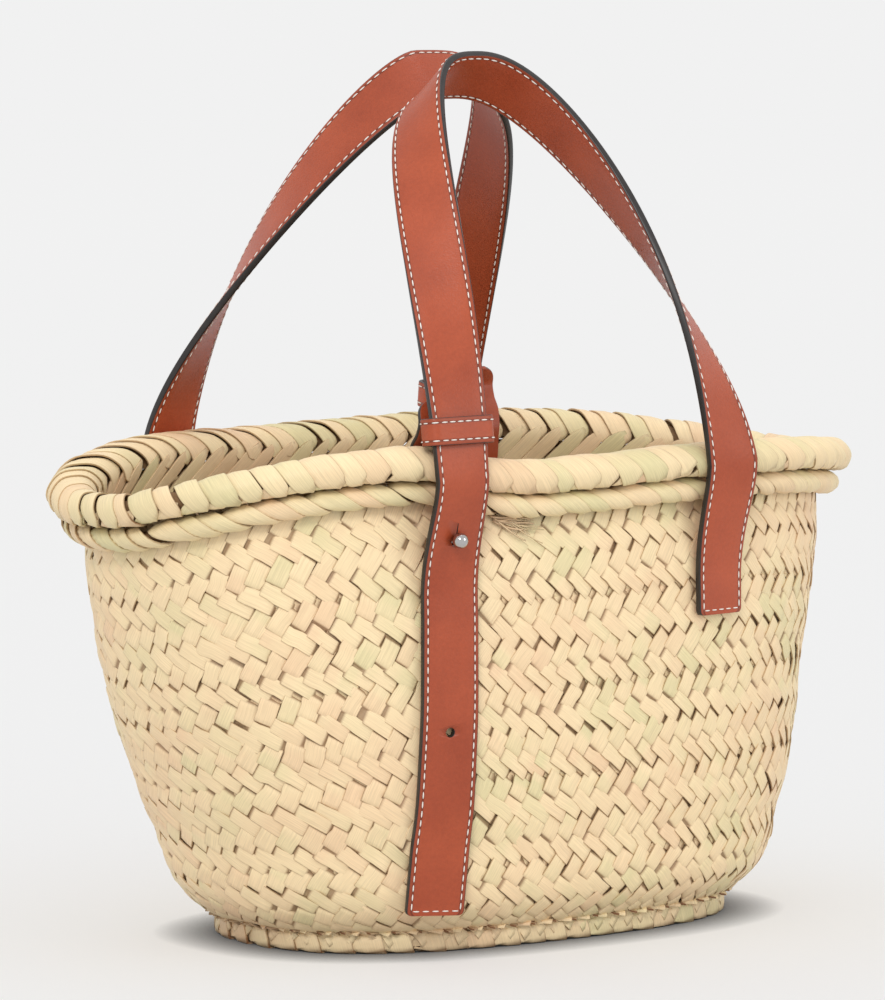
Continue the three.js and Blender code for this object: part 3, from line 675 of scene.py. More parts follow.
roll_leaves = leaves(
    "rim_leaves", roll_place, leaf_count, rim_round / leaf_count, 1.0 * MM, 38.5 * MM, LEAF_LEAN,
    5.1 * MM, 24, slant=-2.2 * MM, points=(0.75, 0.5), roll=-0.12, ragged=1.5, taper=3 * MM, bow=0.5 * MM,
    thickness=0.7 * MM, lift=-0.4 * MM, dive=0.5 * MM, uneven=0.12, jitter=0.1,
)
lower_leaves = leaves(
    "rim_tip_leaves", roll_place, leaf_count, rim_round / leaf_count, -4 * MM, 8.5 * MM, -0.75,
    4.0 * MM, 8, lift=-1.35 * MM, points=(1, 0.4), roll=0.0, bow=0.2 * MM, thickness=0.7 * MM,
)


def inside_place(across, up):
    """Inner face of the wall just under the roll, seen from inside the bag."""
    turn = turn_at(-across / rim_round)
    height = rim_top(turn) + up
    inward = 3.2 * MM + 1.6 * MM * np.clip((up + 24 * MM) / (12 * MM), 0, 1)
    x, y = oval(wall_halves(height, -inward), turn)
    return np.stack([x, y, height], axis=-1)


inner_leaves = leaves(
    "rim_inner_leaves", inside_place, leaf_count, rim_round / leaf_count, -29 * MM, -7 * MM, -1.1,
    3.9 * MM, 12, lift=0.0, points=(0.9, 0.3), roll=0.07, ragged=1.2, bow=0.25 * MM, thickness=0.7 * MM,
)
for piece in (roll_leaves, lower_leaves, inner_leaves):
    piece.data.materials.append(wrap_straw)
    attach(piece, "root")
    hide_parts("rim_roll")

# Cord under the rim
# A twisted cord of straw laid round the outside where the plait ends, each turn of the twist showing
# as a slanting lobe.
CORD_WIDTH = 7.8 * MM
CORD_GAP = 0.3 * MM
CORD_PITCH = 12 * MM
CORD_CORE_DEPTH = 2.2 * MM
CORD_SECTION = ((0, 0.08), (0.5, 0), (1, 0.3), (1, 0.72), (0.5, 1), (0, 0.92))
cord_section, cord_girth = closed_section(CORD_SECTION, CORD_WIDTH, CORD_HEIGHT)
cord_round = round_length(wall_halves(0.17, CORD_WIDTH))


def cord_place(across, up):
    turn = turn_at(across / cord_round)
    out, rise = cord_section(up)
    height = rim_top(turn) - ROLL_HEIGHT - CORD_GAP - CORD_HEIGHT + rise
    x, y = oval(wall_halves(height, out + CORD_GAP), turn)
    return np.stack([x, y, height], axis=-1)


cord_core = core("cord_core", cord_place, cord_round, cord_girth, CORD_CORE_DEPTH, 200, 12)
cord_count = round(cord_round / CORD_PITCH)
cord_leaves = leaves(
    "cord_lobes", cord_place, cord_count, cord_round / cord_count, 1.0 * MM, 20.0 * MM, 1.3,
    4.3 * MM, 12, lift=-0.4 * MM, bow=0.6 * MM, points=(0.6, 0.6), roll=-0.12, uneven=0.14, jitter=0.12,
    dive=1.4 * MM,
)
cord_leaves.data.materials.append(wrap_straw)
for piece in (cord_core, cord_leaves):
    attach(piece, "root")
    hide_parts("rim_cord")

# Loose ends beside the front strap
# Where the cord was joined, its straw ends are left loose. They are frayed thin and fan out to the
# right over the top of the plait.
def upper_place(across, up):
    """Wall just under the cord; up is measured from the cord's lower edge."""
    turn = turn_at(across / cord_round)
    height = rim_top(turn) - ROLL_HEIGHT - CORD_HEIGHT + up
    x, y = oval(wall_halves(height), turn)
    return np.stack([x + wall_shift(height), y, height], axis=-1)


JOINT_ACROSS = 0.699
TUFT_CURL = 1.2 * MM
tuft_count = 22
share = np.linspace(0, 1, 9)[None]
fan = rng.normal(-0.12, 0.2, (tuft_count, 1))
reach = rng.uniform(9, 22, (tuft_count, 1)) * MM
across = JOINT_ACROSS * cord_round + rng.uniform(-4, 3, (tuft_count, 1)) * MM + reach * share
up = rng.uniform(-2.5, 0.8, (tuft_count, 1)) * MM + fan * reach * share
up = up + TUFT_CURL * np.sin(3 * share + fan * 9)
tuft = lay_strips(
    "frayed_ends", upper_place, strip_blank(9, (-1.0, 0.0, 1.0)), across, up,
    rng.uniform(0.25, 0.7, (tuft_count, 1)) * MM * (1 - 0.6 * share),
    (rng.uniform(0.5, 1.9, (tuft_count, 1)) + 0.8 * share) * MM, rng.uniform(0.3, 0.9, tuft_count),
    0.25 + 0 * across, thickness=0.2 * MM, bow=0.1 * MM,
)
tuft.data.materials.append(wrap_straw)
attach(tuft, "root")
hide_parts("rim_cord")

# Foot ring
# A thin bundle wrapped in straw, sewn under the edge of the floor for the bag to stand on. A painted
# contact shadow darkens its wraps in a line where they meet the ground.
FOOT_HEIGHT = 8 * MM
FOOT_WIDTH = 6 * MM
FOOT_PROUD = 1.2 * MM
FOOT_PITCH = 12.6 * MM
FOOT_CORE_DEPTH = 2.4 * MM
FOOT_SHADOW_LINE = 5.3 * MM
FOOT_SECTION = ((0, 0), (0.83, 0), (1, 0.12), (1, 0.88), (0.83, 1), (0, 1))
foot_section, foot_girth = closed_section(FOOT_SECTION, FOOT_WIDTH, FOOT_HEIGHT)
foot_round = round_length(wall_halves(FLOOR_HEIGHT, FOOT_PROUD))


def foot_place(across, up):
    turn = turn_at(across / foot_round)
    out, rise = foot_section(up)
    x, y = oval(wall_halves(FLOOR_HEIGHT, FOOT_PROUD - FOOT_WIDTH + out), turn)
    return np.stack([x + FOOT_SHIFT, y, rise + 0 * turn], axis=-1)


foot_core = core("foot_core", foot_place, foot_round, foot_girth, FOOT_CORE_DEPTH, 180, 12)
foot_count = round(foot_round / FOOT_PITCH)
foot_leaves = leaves(
    "foot_wraps", foot_place, foot_count, foot_round / foot_count, 0.5 * MM, foot_girth - 0.5 * MM, 0.4,
    6.9 * MM, 18, lift=-1.25 * MM, bow=0.4 * MM, points=(0.9, 0.9), roll=-0.07, bend=1.6 * MM, uneven=0.07,
    shadow_line=FOOT_SHADOW_LINE,
)
foot_leaves.data.materials.append(wrap_straw)
for piece in (foot_core, foot_leaves):
    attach(piece, "root")
    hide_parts("base_ring")

# Straps
# Each handle is one long band of two layers of saddle leather, stitched along both edges with white
# thread and painted black on its cut edges. It is sewn on at one leg and buttoned at the other.
STRAP_WIDTH = 25 * MM
STRAP_THICKNESS = 3 * MM
STRAP_GAP = 0.7 * MM
STRAP_ROUND = 2 * MM
STRAP_ROLL_GAP = 1.2 * MM
HANDLE_SPAN = 140 * MM
HANDLE_RISE = 157.5 * MM
ARCH_FOOT = BODY_HEIGHT - 9 * MM
LIFT_START = BODY_HEIGHT - 59 * MM
CROWN_GAP = 7.4 * MM
CROWN_TILT = 1.07
TAIL_END = 18 * MM
TAIL_STRAIGHT = 40 * MM
TAIL_DRAW_IN = 0.15
PATCH_END = BODY_HEIGHT - 72 * MM
RISE_POWER = 1.49
STUD_HEIGHT = BODY_HEIGHT - 34.5 * MM
SPARE_HOLE_HEIGHT = BODY_HEIGHT - 111 * MM
HANDLES = {
    "front": dict(turn=0, buttoned=0.501, sewn=0.487, lean=0.045, bows=(0.74, 0.83),
                  twists=(0.675, 2.65), lean_in=2.44),
    "back": dict(turn=180, buttoned=0.479, sewn=0.581, lean=-0.056, bows=(0.465, 1.32),
                 twists=(1.72, 2.43), lean_in=2.05),
}


def oval_depth(x, halves):
    reach = np.abs(x) / halves[0]
    rest = 1 - reach**OVAL_POWER
    slope = halves[1] / halves[0] * reach ** (OVAL_POWER - 1) * rest ** (1 / OVAL_POWER - 1)
    return halves[1] * rest ** (1 / OVAL_POWER), -np.sign(x) * slope


def depth_at_roll(x):
    outside = wall_halves(BODY_HEIGHT, ROLL_WIDTH - ROLL_INSIDE)
    return oval_depth(x - np.sign(x) * STRAP_WIDTH / 2, outside)[0] + STRAP_ROLL_GAP + STRAP_THICKNESS / 2


def wall_depth(row, x, height, outwards=0.0):
    side = math.cos(math.radians(row["turn"]))
    return oval_depth(x - side * wall_shift(height), wall_halves(height, outwards))


def strap_leg(row, x, height):
    depth, slope = wall_depth(row, x, np.maximum(height, TAIL_STRAIGHT))
    share = np.clip((height - LIFT_START) / (ARCH_FOOT - LIFT_START), 0, 1)
    rise = share**2 * (3 - 2 * share)
    depth = depth + STRAP_GAP + STRAP_THICKNESS / 2
    depth = depth - np.maximum(0, TAIL_STRAIGHT - height) * TAIL_DRAW_IN
    depth = depth + (depth_at_roll(x) - depth) * rise
    turned = slope * (1 - rise)
    one = np.ones_like(height)
    centre = np.stack([x * one, -depth, height], axis=-1)
    across = np.stack([one, -turned, 0 * one], axis=-1) * -np.sign(x)
    return centre, across


def strap_arch(row, share):
    angle = np.pi * share
    along, up = np.cos(angle), np.sin(angle)
    first = along > 0
    legs = (-row["buttoned"] * HANDLE_SPAN, row["sewn"] * HANDLE_SPAN)
    leg = np.where(first, *legs)
    bow, twist = np.where(first, *row["bows"]), np.where(first, *row["twists"])
    foot = np.where(first, depth_at_roll(legs[0]), depth_at_roll(legs[1]))
    crown = CROWN_GAP / 2 + STRAP_WIDTH / 2 / math.hypot(1, CROWN_TILT)
    x = leg * np.abs(along) ** bow - row["lean"] * HANDLE_SPAN * up
    depth = foot - (foot - crown) * up ** row["lean_in"]
    turn = np.radians(np.where(first, 90, -90) * np.abs(along) ** twist - 90)
    centre = np.stack([x, -depth, ARCH_FOOT + HANDLE_RISE * up**RISE_POWER], axis=-1)
    return centre, np.stack([np.cos(turn), np.sin(turn), CROWN_TILT * up], axis=-1)


def spaced(centre, across, step, rounded=False):
    runs = np.concatenate([[0], np.linalg.norm(np.diff(centre, axis=0), axis=1).cumsum()])
    even = np.linspace(0, runs[-1], max(round(runs[-1] / step), 1) + 1)
    near = np.array([0.1, 0.3, 0.6, 1.0, 1.5]) * MM if rounded else np.array([])
    even = np.unique(np.concatenate([even, near, runs[-1] - near]))
    pick = [
        np.stack([np.interp(even, runs, rows[:, axis]) for axis in range(3)], axis=-1)
        for rows in (centre, across)
    ]
    return *pick, even


def unit(rows):
    return rows / np.linalg.norm(rows, axis=-1, keepdims=True)


def band_frame(centre, across):
    """Centre, side, outward face and distance for each station of a leather band."""
    forward = unit(np.gradient(centre, axis=0))
    side = unit(across - forward * (across * forward).sum(-1, keepdims=True))
    return centre, side, -np.cross(forward, side)


def handle_route(row, step):
    legs = (-row["buttoned"] * HANDLE_SPAN, row["sewn"] * HANDLE_SPAN)
    parts = [
        strap_leg(row, legs[0], np.linspace(TAIL_END, ARCH_FOOT, 240)),
        strap_arch(row, np.linspace(0, 1, 1200)[1:]),
        strap_leg(row, legs[1], np.linspace(ARCH_FOOT, PATCH_END, 100)[1:]),
    ]
    centre, across = (np.concatenate(rows) for rows in zip(*parts))
    return spaced(centre, across, step, rounded=True)


def leather_band(name, rows, width, thickness, bevel, materials, halves=None, closed=False, seams=True):
    """A band of leather with rounded cut edges, bent along the stations of its route."""
    centre, side, face, runs = rows
    stations = len(centre)
    shape = bmesh.new()
    bmesh.ops.create_grid(shape, x_segments=stations - 1, y_segments=4, size=1.0)
    bmesh.ops.solidify(shape, geom=shape.faces[:], thickness=thickness)
    if closed:
        caps = [face_ for face_ in shape.faces if abs(abs(face_.calc_center_median().x) - 1) < 1e-6]
        bmesh.ops.delete(shape, geom=caps, context="FACES_ONLY")
    top = max(vertex.co.z for vertex in shape.verts)
    for vertex in shape.verts:
        vertex.co.x = (vertex.co.x + 1) / 2 * (stations - 1)
        vertex.co.y *= width / 2
        vertex.co.z += thickness / 2 - top
    bmesh.ops.recalc_face_normals(shape, faces=shape.faces[:])
    rims = [
        edge for edge in shape.edges
        if all(abs(abs(vertex.co.y) - width / 2) < 1e-6 for vertex in edge.verts)
        and abs(edge.verts[0].co.z - edge.verts[1].co.z) < 1e-6
    ]
    bmesh.ops.bevel(
        shape, geom=rims, offset=bevel, segments=3, profile=0.5, affect="EDGES", material=-1,
        clamp_overlap=True,
    )
    layer = shape.loops.layers.uv.new("leather")
    paint_line = width / 2 - bevel * 0.6
    for face_ in shape.faces:
        middle = face_.calc_center_median()
        face_.material_index = int(abs(middle.y) > paint_line)
        for loop in face_.loops:
            place_x = min(max(loop.vert.co.x, 0), stations - 1)
            inset = width / 2 - abs(loop.vert.co.y) + (0 if seams else width)
            loop[layer].uv = (inset, np.interp(place_x, range(stations), runs))
    shrink = np.ones(stations) if halves is None else np.asarray(halves) / (width / 2)
    for vertex in shape.verts:
        low = min(max(int(vertex.co.x), 0), stations - 2)
        share = vertex.co.x - low
        middle, beside, out, scale = (
            rows_[low] * (1 - share) + rows_[low + 1] * share for rows_ in (centre, side, face, shrink)
        )
        vertex.co = Vector(middle + beside * vertex.co.y * scale + out * vertex.co.z)
    if closed:
        bmesh.ops.remove_doubles(shape, verts=shape.verts[:], dist=0.01 * MM)
        bmesh.ops.recalc_face_normals(shape, faces=shape.faces[:])
    return finish_mesh(shape, name, *materials)


STITCH_INSET = 1.9 * MM

leather, shader, add, join = node_material("saddle_leather")
place_node = add("ShaderNodeTexCoord")
uv = add("ShaderNodeUVMap", uv_map="leather")
pores = add("ShaderNodeTexVoronoi", {"Vector": place_node.outputs["Object"], "Scale": 1500.0})
grain = add("ShaderNodeTexNoise", {"Vector": place_node.outputs["Object"], "Scale": 700.0, "Detail": 4.0})
cloud = add("ShaderNodeTexNoise", {"Vector": place_node.outputs["Object"], "Scale": 28.0, "Detail": 3.0})
ramp = add("ShaderNodeValToRGB", {"Fac": cloud.outputs["Fac"]})
ramp.color_ramp.elements[0].position, ramp.color_ramp.elements[0].color = 0.3, (0.31, 0.051, 0.017, 1)
ramp.color_ramp.elements[1].position, ramp.color_ramp.elements[1].color = 0.72, (0.41, 0.076, 0.027, 1)
fine = add("ShaderNodeMapRange", {"Value": grain.outputs["Fac"], 1: 0.3, 2: 0.7, 3: 0.93, 4: 1.05})
mixed = add("ShaderNodeMix", {0: 1.0}, data_type="RGBA", blend_type="MULTIPLY")
join(ramp.outputs["Color"], mixed.inputs[6])
join(fine.outputs[0], mixed.inputs[7])
inset = add("ShaderNodeSeparateXYZ", {0: uv.outputs[0]})
seam_way = add("ShaderNodeMath", {0: inset.outputs[0], 1: STITCH_INSET}, operation="SUBTRACT")
seam_far = add("ShaderNodeMath", {0: seam_way.outputs[0]}, operation="ABSOLUTE")
# Painted shade in the stitch groove: the colour drops to half along the stitch line.
groove = add(
    "ShaderNodeMapRange", {"Value": seam_far.outputs[0], 1: 0.25 * MM, 2: 0.75 * MM, 3: 0.5, 4: 1.0}
)
# The leather is darker towards its cut edges.
darker_to_edge = add("ShaderNodeMapRange", {"Value": inset.outputs[0], 1: 0.4 * MM, 2: 1.6 * MM, 3: 0.72, 4: 1.0})
groove_shade_and_edge_dark = add("ShaderNodeMath", {0: groove.outputs[0], 1: darker_to_edge.outputs[0]}, operation="MULTIPLY")
darker = add("ShaderNodeMix", {0: 1.0}, data_type="RGBA", blend_type="MULTIPLY")
join(mixed.outputs[2], darker.inputs[6])
join(groove_shade_and_edge_dark.outputs[0], darker.inputs[7])
join(darker.outputs[2], shader.inputs["Base Color"])
height = add("ShaderNodeMath", {0: grain.outputs["Fac"], 1: pores.outputs["Distance"]}, operation="ADD")
sunk = add("ShaderNodeMath", {0: groove.outputs[0], 1: 1.5, 2: height.outputs[0]}, operation="MULTIPLY_ADD")
bump = add("ShaderNodeBump", {"Height": sunk.outputs[0], "Strength": 0.3, "Distance": 0.0002})
join(bump.outputs[0], shader.inputs["Normal"])
shader.inputs["Roughness"].default_value = 0.4
shader.inputs["Specular IOR Level"].default_value = 0.4

edge_paint = speckled("edge_paint", (0.008, 0.007, 0.007), (0.030, 0.024, 0.022), 260.0, 3.0, 0.38)
thread = speckled("white_thread", (0.62, 0.56, 0.50), (0.92, 0.88, 0.82), 2500.0, 2.0, 0.7)

STITCH_PITCH = 3.9 * MM
STITCH_LENGTH = 2.9 * MM
STITCH_THICK = 0.62 * MM
STITCH_PROUD = 0.06 * MM


def stitches(name, rows):
    """Short rounded stitches, each at a point with its direction and the way out of the leather."""
    shape = bmesh.new()
    bmesh.ops.create_uvsphere(shape, u_segments=6, v_segments=5, radius=0.5)
    points = np.array([vertex.co for vertex in shape.verts]) * (STITCH_THICK, STITCH_THICK, STITCH_LENGTH)
    faces = [[vertex.index for vertex in face.verts] for face in shape.faces]
    shape.free()
    verts, polygons = [], []
    for middle, along, out in rows:
        beside = np.cross(out, along)
        basis = np.stack([beside, out, along])
        base = len(verts) * len(points)
        verts.append(middle + points @ basis)
        polygons += [[base + index for index in face] for face in faces]
    mesh = bpy.data.meshes.new(name)
    mesh.from_pydata(np.concatenate(verts).tolist(), [], polygons)
    mesh.polygons.foreach_set("use_smooth", np.ones(len(mesh.polygons), bool))
    mesh.materials.append(thread)
    piece = bpy.data.objects.new(name, mesh)
    bpy.context.collection.objects.link(piece)
    return piece


def edge_stitches(rows, width, thickness, faces=(1, -1), inset=STITCH_INSET, ends=(True, True)):
    """Stitches along both edges of a band and across its ends."""
    centre, side, face, runs = rows
    made = []
    length = runs[-1]

    def at(run, values):
        return np.array([np.interp(run, runs, values[:, axis]) for axis in range(3)])

    count = round((length - 2 * inset) / STITCH_PITCH)
    for step in range(count):
        run = inset + (step + 0.5) * (length - 2 * inset) / count
        forward = unit(at(run + 0.5 * MM, centre) - at(run - 0.5 * MM, centre))
        for way in (-1, 1):
            for front in faces:
                out = unit(at(run, face)) * front
                middle = at(run, centre) + unit(at(run, side)) * way * (width / 2 - inset)
                made.append((middle + out * (thickness / 2 + STITCH_PROUD), forward, out))
    for wanted, run in ((ends[0], inset), (ends[1], length - inset)):
        if not wanted:
            continue
        count = round((width - 2 * inset) / STITCH_PITCH)
        for step in range(count):
            reach = ((step + 0.5) / count - 0.5) * (width - 2 * inset)
            for front in faces:
                out, along = unit(at(run, face)) * front, unit(at(run, side))
                middle = at(run, centre) + along * reach
                made.append((middle + out * (thickness / 2 + STITCH_PROUD), along, out))
    return made


def turned(rows, degrees):
    """Route of a part made as if at the front, turned to its own side of the bag."""
    matrix = np.array(Matrix.Rotation(math.radians(degrees), 3, "Z"))
    return tuple(part @ matrix.T for part in rows[:3]) + (rows[3],)


def square_to(across, forward):
    return unit(across - forward * across.dot(forward))


def button_seat(row, height):
    """Where a stud's axis meets the strap, its side and outward directions, and the way to the wall."""
    x = -row["buttoned"] * HANDLE_SPAN
    centre, across = strap_leg(row, x, np.array([height]))
    depth, slope = wall_depth(row, x, height)
    above, below = (wall_depth(row, x, height + step)[0] for step in (MM, -MM))
    out = unit(np.array((-slope, -1, -(above - below) / (2 * MM))))
    return centre[0], square_to(across[0], out), out, (-centre[0][1] - depth) * -out[1]


def seated(centre, side, out, degrees=0.0):
    """Matrix that stands a part's own Z along the way out, turned to its own side of the bag."""
    basis = Matrix([side, np.cross(out, side), out]).transposed().to_4x4()
    return Matrix.Rotation(math.radians(degrees), 4, "Z") @ Matrix.Translation(centre) @ basis


def cut_out(piece, shape, material):
    """Cut a shape out of a piece, leaving the cut faces in that material."""
    tool = finish_mesh(shape, "cutter", material)
    modifier = piece.modifiers.new("hole", "BOOLEAN")
    modifier.operation, modifier.solver, modifier.object = "DIFFERENCE", "EXACT", tool
    modifier.material_mode = "TRANSFER"
    bpy.context.view_layer.update()
    cut = bpy.data.meshes.new_from_object(piece.evaluated_get(bpy.context.evaluated_depsgraph_get()))
    piece.modifiers.clear()
    piece.data = cut
    bpy.data.objects.remove(tool)


HOLE_RADIUS = 2.0 * MM
SLIT_LENGTH = 7 * MM
SLIT_WIDTH = 0.9 * MM
CUT_DEPTH = 14 * MM


def button_hole(strap, row, height, slit):
    """Round hole, with a narrowing slit over it where the stud's ball has passed."""
    centre, side, out, to_wall = button_seat(row, height)
    seat = seated(centre, side, out, row["turn"])
    shape = bmesh.new()
    bmesh.ops.create_cone(
        shape, cap_ends=True, segments=24, radius1=HOLE_RADIUS, radius2=HOLE_RADIUS, depth=CUT_DEPTH
    )
    bmesh.ops.transform(shape, matrix=seat, verts=shape.verts[:])
    cut_out(strap, shape, edge_paint)
    if not slit:
        return
    shape = bmesh.new()
    bmesh.ops.create_cube(shape, size=1.0)
    bmesh.ops.scale(shape, verts=shape.verts[:], vec=(SLIT_WIDTH, SLIT_LENGTH, CUT_DEPTH))
    bmesh.ops.translate(shape, verts=shape.verts[:], vec=(0, SLIT_LENGTH / 2, 0))
    for vertex in shape.verts:
        vertex.co.x *= 0.35 if vertex.co.y > SLIT_LENGTH / 2 else 1.0
    bmesh.ops.transform(shape, matrix=seat, verts=shape.verts[:])
    cut_out(strap, shape, edge_paint)


for name, row in HANDLES.items():
    centre, across, runs = handle_route(row, 2.2 * MM)
    rows = turned((*band_frame(centre, across), runs), row["turn"])
    to_end = np.clip(STRAP_ROUND - np.minimum(runs, runs[-1] - runs), 0, STRAP_ROUND)
    halves = STRAP_WIDTH / 2 - STRAP_ROUND + np.sqrt(STRAP_ROUND**2 - to_end**2)
    strap = leather_band(
        f"strap_{name}", rows, STRAP_WIDTH, STRAP_THICKNESS, 0.7 * MM, (leather, edge_paint), halves=halves
    )
    for height in (STUD_HEIGHT, SPARE_HOLE_HEIGHT):
        button_hole(strap, row, height, slit=height == STUD_HEIGHT)
    seams = stitches(f"strap_stitches_{name}", edge_stitches(rows, STRAP_WIDTH, STRAP_THICKNESS))
    for piece in (strap, seams):
        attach(piece, "root")
        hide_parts(f"handle_{name}")

# Keepers
# A short stitched loop of the same leather rides on each buttoned leg just above the rim. It is deeper
# than the strap is thick, so its rounded sides stand away from the strap.
KEEPER_HEIGHT = 11 * MM
KEEPER_THICKNESS = 1.6 * MM
KEEPER_CLEARANCE = 1.4 * MM
KEEPER_SLACK = 3.4 * MM
KEEPER_ABOVE_ROLL = 2 * MM
KEEPER_SLANT = 3
KEEPER_ROUND = 3.2 * MM
LEG_TURNS = (72, 252)
KEEPER_MIDDLE = max(float(rim_top(turn)) for turn in LEG_TURNS) + KEEPER_ABOVE_ROLL + KEEPER_HEIGHT / 2


def arch_at(row, height):
    up = ((height - ARCH_FOOT) / HANDLE_RISE) ** (1 / RISE_POWER)
    centre, across = strap_arch(row, np.array([math.asin(up) / math.pi]))
    return centre[0], across[0]


def keeper_seat(row):
    centre, across = arch_at(row, KEEPER_MIDDLE)
    forward = unit(arch_at(row, KEEPER_MIDDLE + 2 * MM)[0] - arch_at(row, KEEPER_MIDDLE - 2 * MM)[0])
    side = square_to(across, forward)
    out = unit(-np.cross(forward, side) - np.array((0, 1, 0)))
    return centre, square_to(side, out), out


def keeper_route(row):
    """Rounded loop round the strap, starting and ending behind it."""
    centre, side, out = keeper_seat(row)
    up, slant = np.cross(out, side), math.radians(KEEPER_SLANT)
    side, up = side * math.cos(slant) + up * math.sin(slant), up * math.cos(slant) - side * math.sin(slant)
    half = STRAP_WIDTH / 2 + KEEPER_CLEARANCE + KEEPER_THICKNESS / 2 - KEEPER_ROUND
    back = -(STRAP_THICKNESS + KEEPER_THICKNESS) / 2 - KEEPER_SLACK + KEEPER_ROUND
    front = (STRAP_THICKNESS + KEEPER_THICKNESS) / 2 + KEEPER_CLEARANCE - KEEPER_ROUND
    points = [(0, back - KEEPER_ROUND)]
    for x, depth, start in ((half, back, -90), (half, front, 0), (-half, front, 90), (-half, back, 180)):
        for angle in np.radians(np.linspace(start, start + 90, 9)):
            points.append((x + KEEPER_ROUND * math.cos(angle), depth + KEEPER_ROUND * math.sin(angle)))
    points.append(points[0])
    loop = np.array([centre + side * x + out * depth for x, depth in points])
    return spaced(loop, np.tile(up, (len(loop), 1)), 0.9 * MM)


for name, row in HANDLES.items():
    centre, across, runs = keeper_route(row)
    rows = turned((*band_frame(centre, across), runs), row["turn"])
    keeper = leather_band(
        f"keeper_{name}_loop", rows, KEEPER_HEIGHT, KEEPER_THICKNESS, 0.45 * MM, (leather, edge_paint),
        closed=True,
    )
    seams = stitches(
        f"keeper_stitches_{name}",
        edge_stitches(rows, KEEPER_HEIGHT, KEEPER_THICKNESS, faces=(1,), ends=(False, False)),
    )
    for piece in (keeper, seams):
        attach(piece, "root")
        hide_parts(f"keeper_{name}")

# Tabs
# Plain leather tabs are sewn inside the wall behind the studs. Each climbs past the roll and stands up
# behind its keeper with a rounded end.
WALL_THICKNESS = 3 * MM
TAB_WIDTH = 24 * MM
TAB_FOOT_WIDTH = 15 * MM
TAB_THICKNESS = 2 * MM
TAB_ABOVE_RIM = 21 * MM
TAB_BELOW_RIM = 54 * MM
TAB_LEAN = 3.5 * MM
TAB_ROUND = 7 * MM
TAB_WALL_GAP = 0.9 * MM
TAB_KEEPER_GAP = 2.2 * MM


def tab_depth(x, halves):
    """Depth of a flat tab laid inside an oval, touching it along both edges, and its slope."""
    left, right = (oval_depth(x + way * TAB_WIDTH / 2, halves)[0] for way in (-1, 1))
    return (left + right) / 2, (right - left) / TAB_WIDTH


def tab_route(row):
    x = -row["buttoned"] * HANDLE_SPAN
    clear = TAB_WALL_GAP + TAB_THICKNESS / 2

    def in_wall(z):
        return tab_depth(x, wall_halves(z, -WALL_THICKNESS))[0] - clear

    in_roll = tab_depth(x, wall_halves(BODY_HEIGHT, -ROLL_INSIDE))[0] - clear
    keeper_back = STRAP_THICKNESS / 2 + KEEPER_SLACK + KEEPER_THICKNESS
    keeper_reach = keeper_back + TAB_KEEPER_GAP + TAB_THICKNESS / 2
    behind = -keeper_seat(row)[0][1] - keeper_reach
    low, under = BODY_HEIGHT - TAB_BELOW_RIM, BODY_HEIGHT - ROLL_HEIGHT - 3 * TAB_THICKNESS
    places = (
        (low, in_wall(low)), ((low + under) / 2, in_wall((low + under) / 2)),
        (under, min(in_wall(under), in_roll + MM)),
        (BODY_HEIGHT - ROLL_HEIGHT * 0.7, in_roll), (BODY_HEIGHT - ROLL_HEIGHT * 0.25, in_roll),
        (BODY_HEIGHT + ROLL_HEIGHT * 0.2, in_roll + (behind - in_roll) * 0.3),
        (BODY_HEIGHT + ROLL_HEIGHT * 0.6, in_roll + (behind - in_roll) * 0.8),
        (BODY_HEIGHT + ROLL_HEIGHT, behind), (BODY_HEIGHT + TAB_ABOVE_RIM, behind - TAB_LEAN),
    )
    height = np.linspace(low, BODY_HEIGHT + TAB_ABOVE_RIM, 400)
    depth = look_up([place[0] for place in places], [place[1] for place in places], height)
    slope = tab_depth(x, wall_halves(STUD_HEIGHT, -WALL_THICKNESS))[1]
    share = np.clip((height - BODY_HEIGHT) / TAB_ABOVE_RIM, 0, 1)
    slope = slope * (1 - share**2 * (3 - 2 * share))
    one = np.ones_like(height)
    return spaced(np.stack([x * one, -depth, height], -1), np.stack([one, -slope, 0 * one], -1), 0.7 * MM)


for name, row in HANDLES.items():
    centre, across, runs = tab_route(row)
    rows = turned((*band_frame(centre, across), runs), row["turn"])
    to_end = np.clip(TAB_ROUND - (runs[-1] - runs), 0, TAB_ROUND * 0.985)
    low = BODY_HEIGHT - 0.6 * ROLL_HEIGHT
    wide = np.clip((rows[0][:, 2] - low) / (BODY_HEIGHT + TAB_ABOVE_RIM - TAB_ROUND - low), 0, 1)
    wide = wide**2 * (3 - 2 * wide)
    halves = (TAB_FOOT_WIDTH + (TAB_WIDTH - TAB_FOOT_WIDTH) * wide) / 2
    halves = halves - TAB_ROUND + np.sqrt(TAB_ROUND**2 - to_end**2)
    tab = leather_band(
        f"tab_{name}_leather", rows, TAB_WIDTH, TAB_THICKNESS, 0.5 * MM, (leather, edge_paint),
        halves=halves, seams=False,
    )
    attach(tab, "root")
    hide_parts(f"tab_{name}")

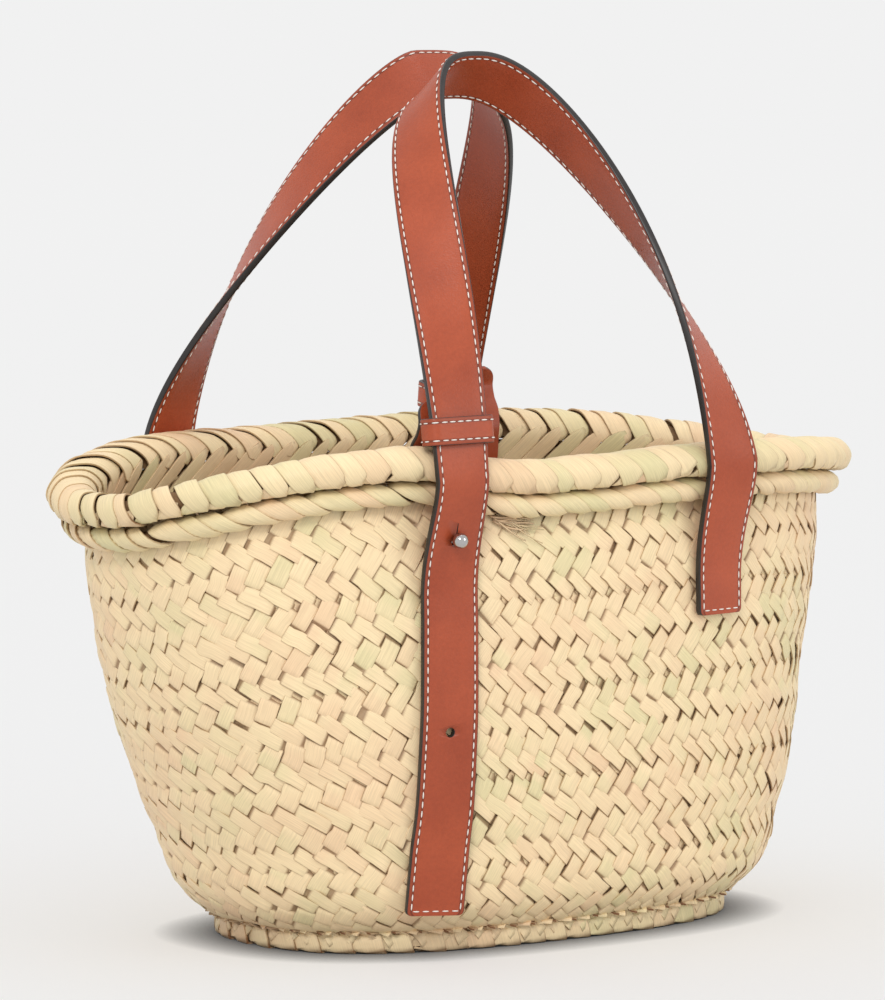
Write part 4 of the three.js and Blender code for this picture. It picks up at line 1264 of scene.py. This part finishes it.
# Studs
# Polished steel ball studs hold the buttoned legs. Each is turned in one piece, with a slim neck
# through strap, wall and tab, and flat collars outside the wall and behind the tab.
STUD_BALL = 6.4 * MM
STUD_NECK = 3.2 * MM
STUD_COLLAR = 9 * MM
STUD_COLLAR_THICKNESS = 1.2 * MM
STUD_TAB_GAP = 1 * MM
PIECE_GAP = 0.3 * MM

steel = speckled("polished_steel", (0.42, 0.41, 0.40), (0.56, 0.55, 0.54), 300.0, 2.0, 0.06, metallic=1.0)

for name, row in HANDLES.items():
    centre, side, out, to_wall = button_seat(row, STUD_HEIGHT)
    ball, neck, collar = STUD_BALL / 2, STUD_NECK / 2, STUD_COLLAR / 2
    ball_centre = STRAP_THICKNESS / 2 + 2 * PIECE_GAP + ball
    tab_back = -to_wall - WALL_THICKNESS - TAB_WALL_GAP - TAB_THICKNESS - STUD_TAB_GAP
    collar_back = -to_wall + 2 * PIECE_GAP
    start = math.asin(neck / ball)
    profile = [
        (0, tab_back - STUD_COLLAR_THICKNESS), (collar, tab_back - STUD_COLLAR_THICKNESS),
        (collar, tab_back), (neck, tab_back), (neck, collar_back), (collar, collar_back),
        (collar, collar_back + STUD_COLLAR_THICKNESS), (neck, collar_back + STUD_COLLAR_THICKNESS),
    ]
    for angle in np.linspace(start, math.pi, 20):
        profile.append((ball * math.sin(angle), ball_centre - ball * math.cos(angle)))
    shape = bmesh.new()
    spots = [shape.verts.new((radius, 0, height)) for radius, height in profile]
    edges = [shape.edges.new(pair) for pair in zip(spots, spots[1:])]
    bmesh.ops.spin(
        shape, geom=spots + edges, axis=(0, 0, 1), cent=(0, 0, 0), angle=2 * math.pi, steps=40,
        use_merge=True,
    )
    bmesh.ops.remove_doubles(shape, verts=shape.verts[:], dist=0.005 * MM)
    bmesh.ops.recalc_face_normals(shape, faces=shape.faces[:])
    bmesh.ops.transform(shape, matrix=seated(centre, side, out, row["turn"]), verts=shape.verts[:])
    stud = finish_mesh(shape, f"stud_{name}_steel", steel)
    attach(stud, "root")
    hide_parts(f"stud_{name}")

for piece in list(bpy.context.scene.objects):
    if piece.type == "MESH" and piece is not floor:
        lit_pieces.objects.link(piece)
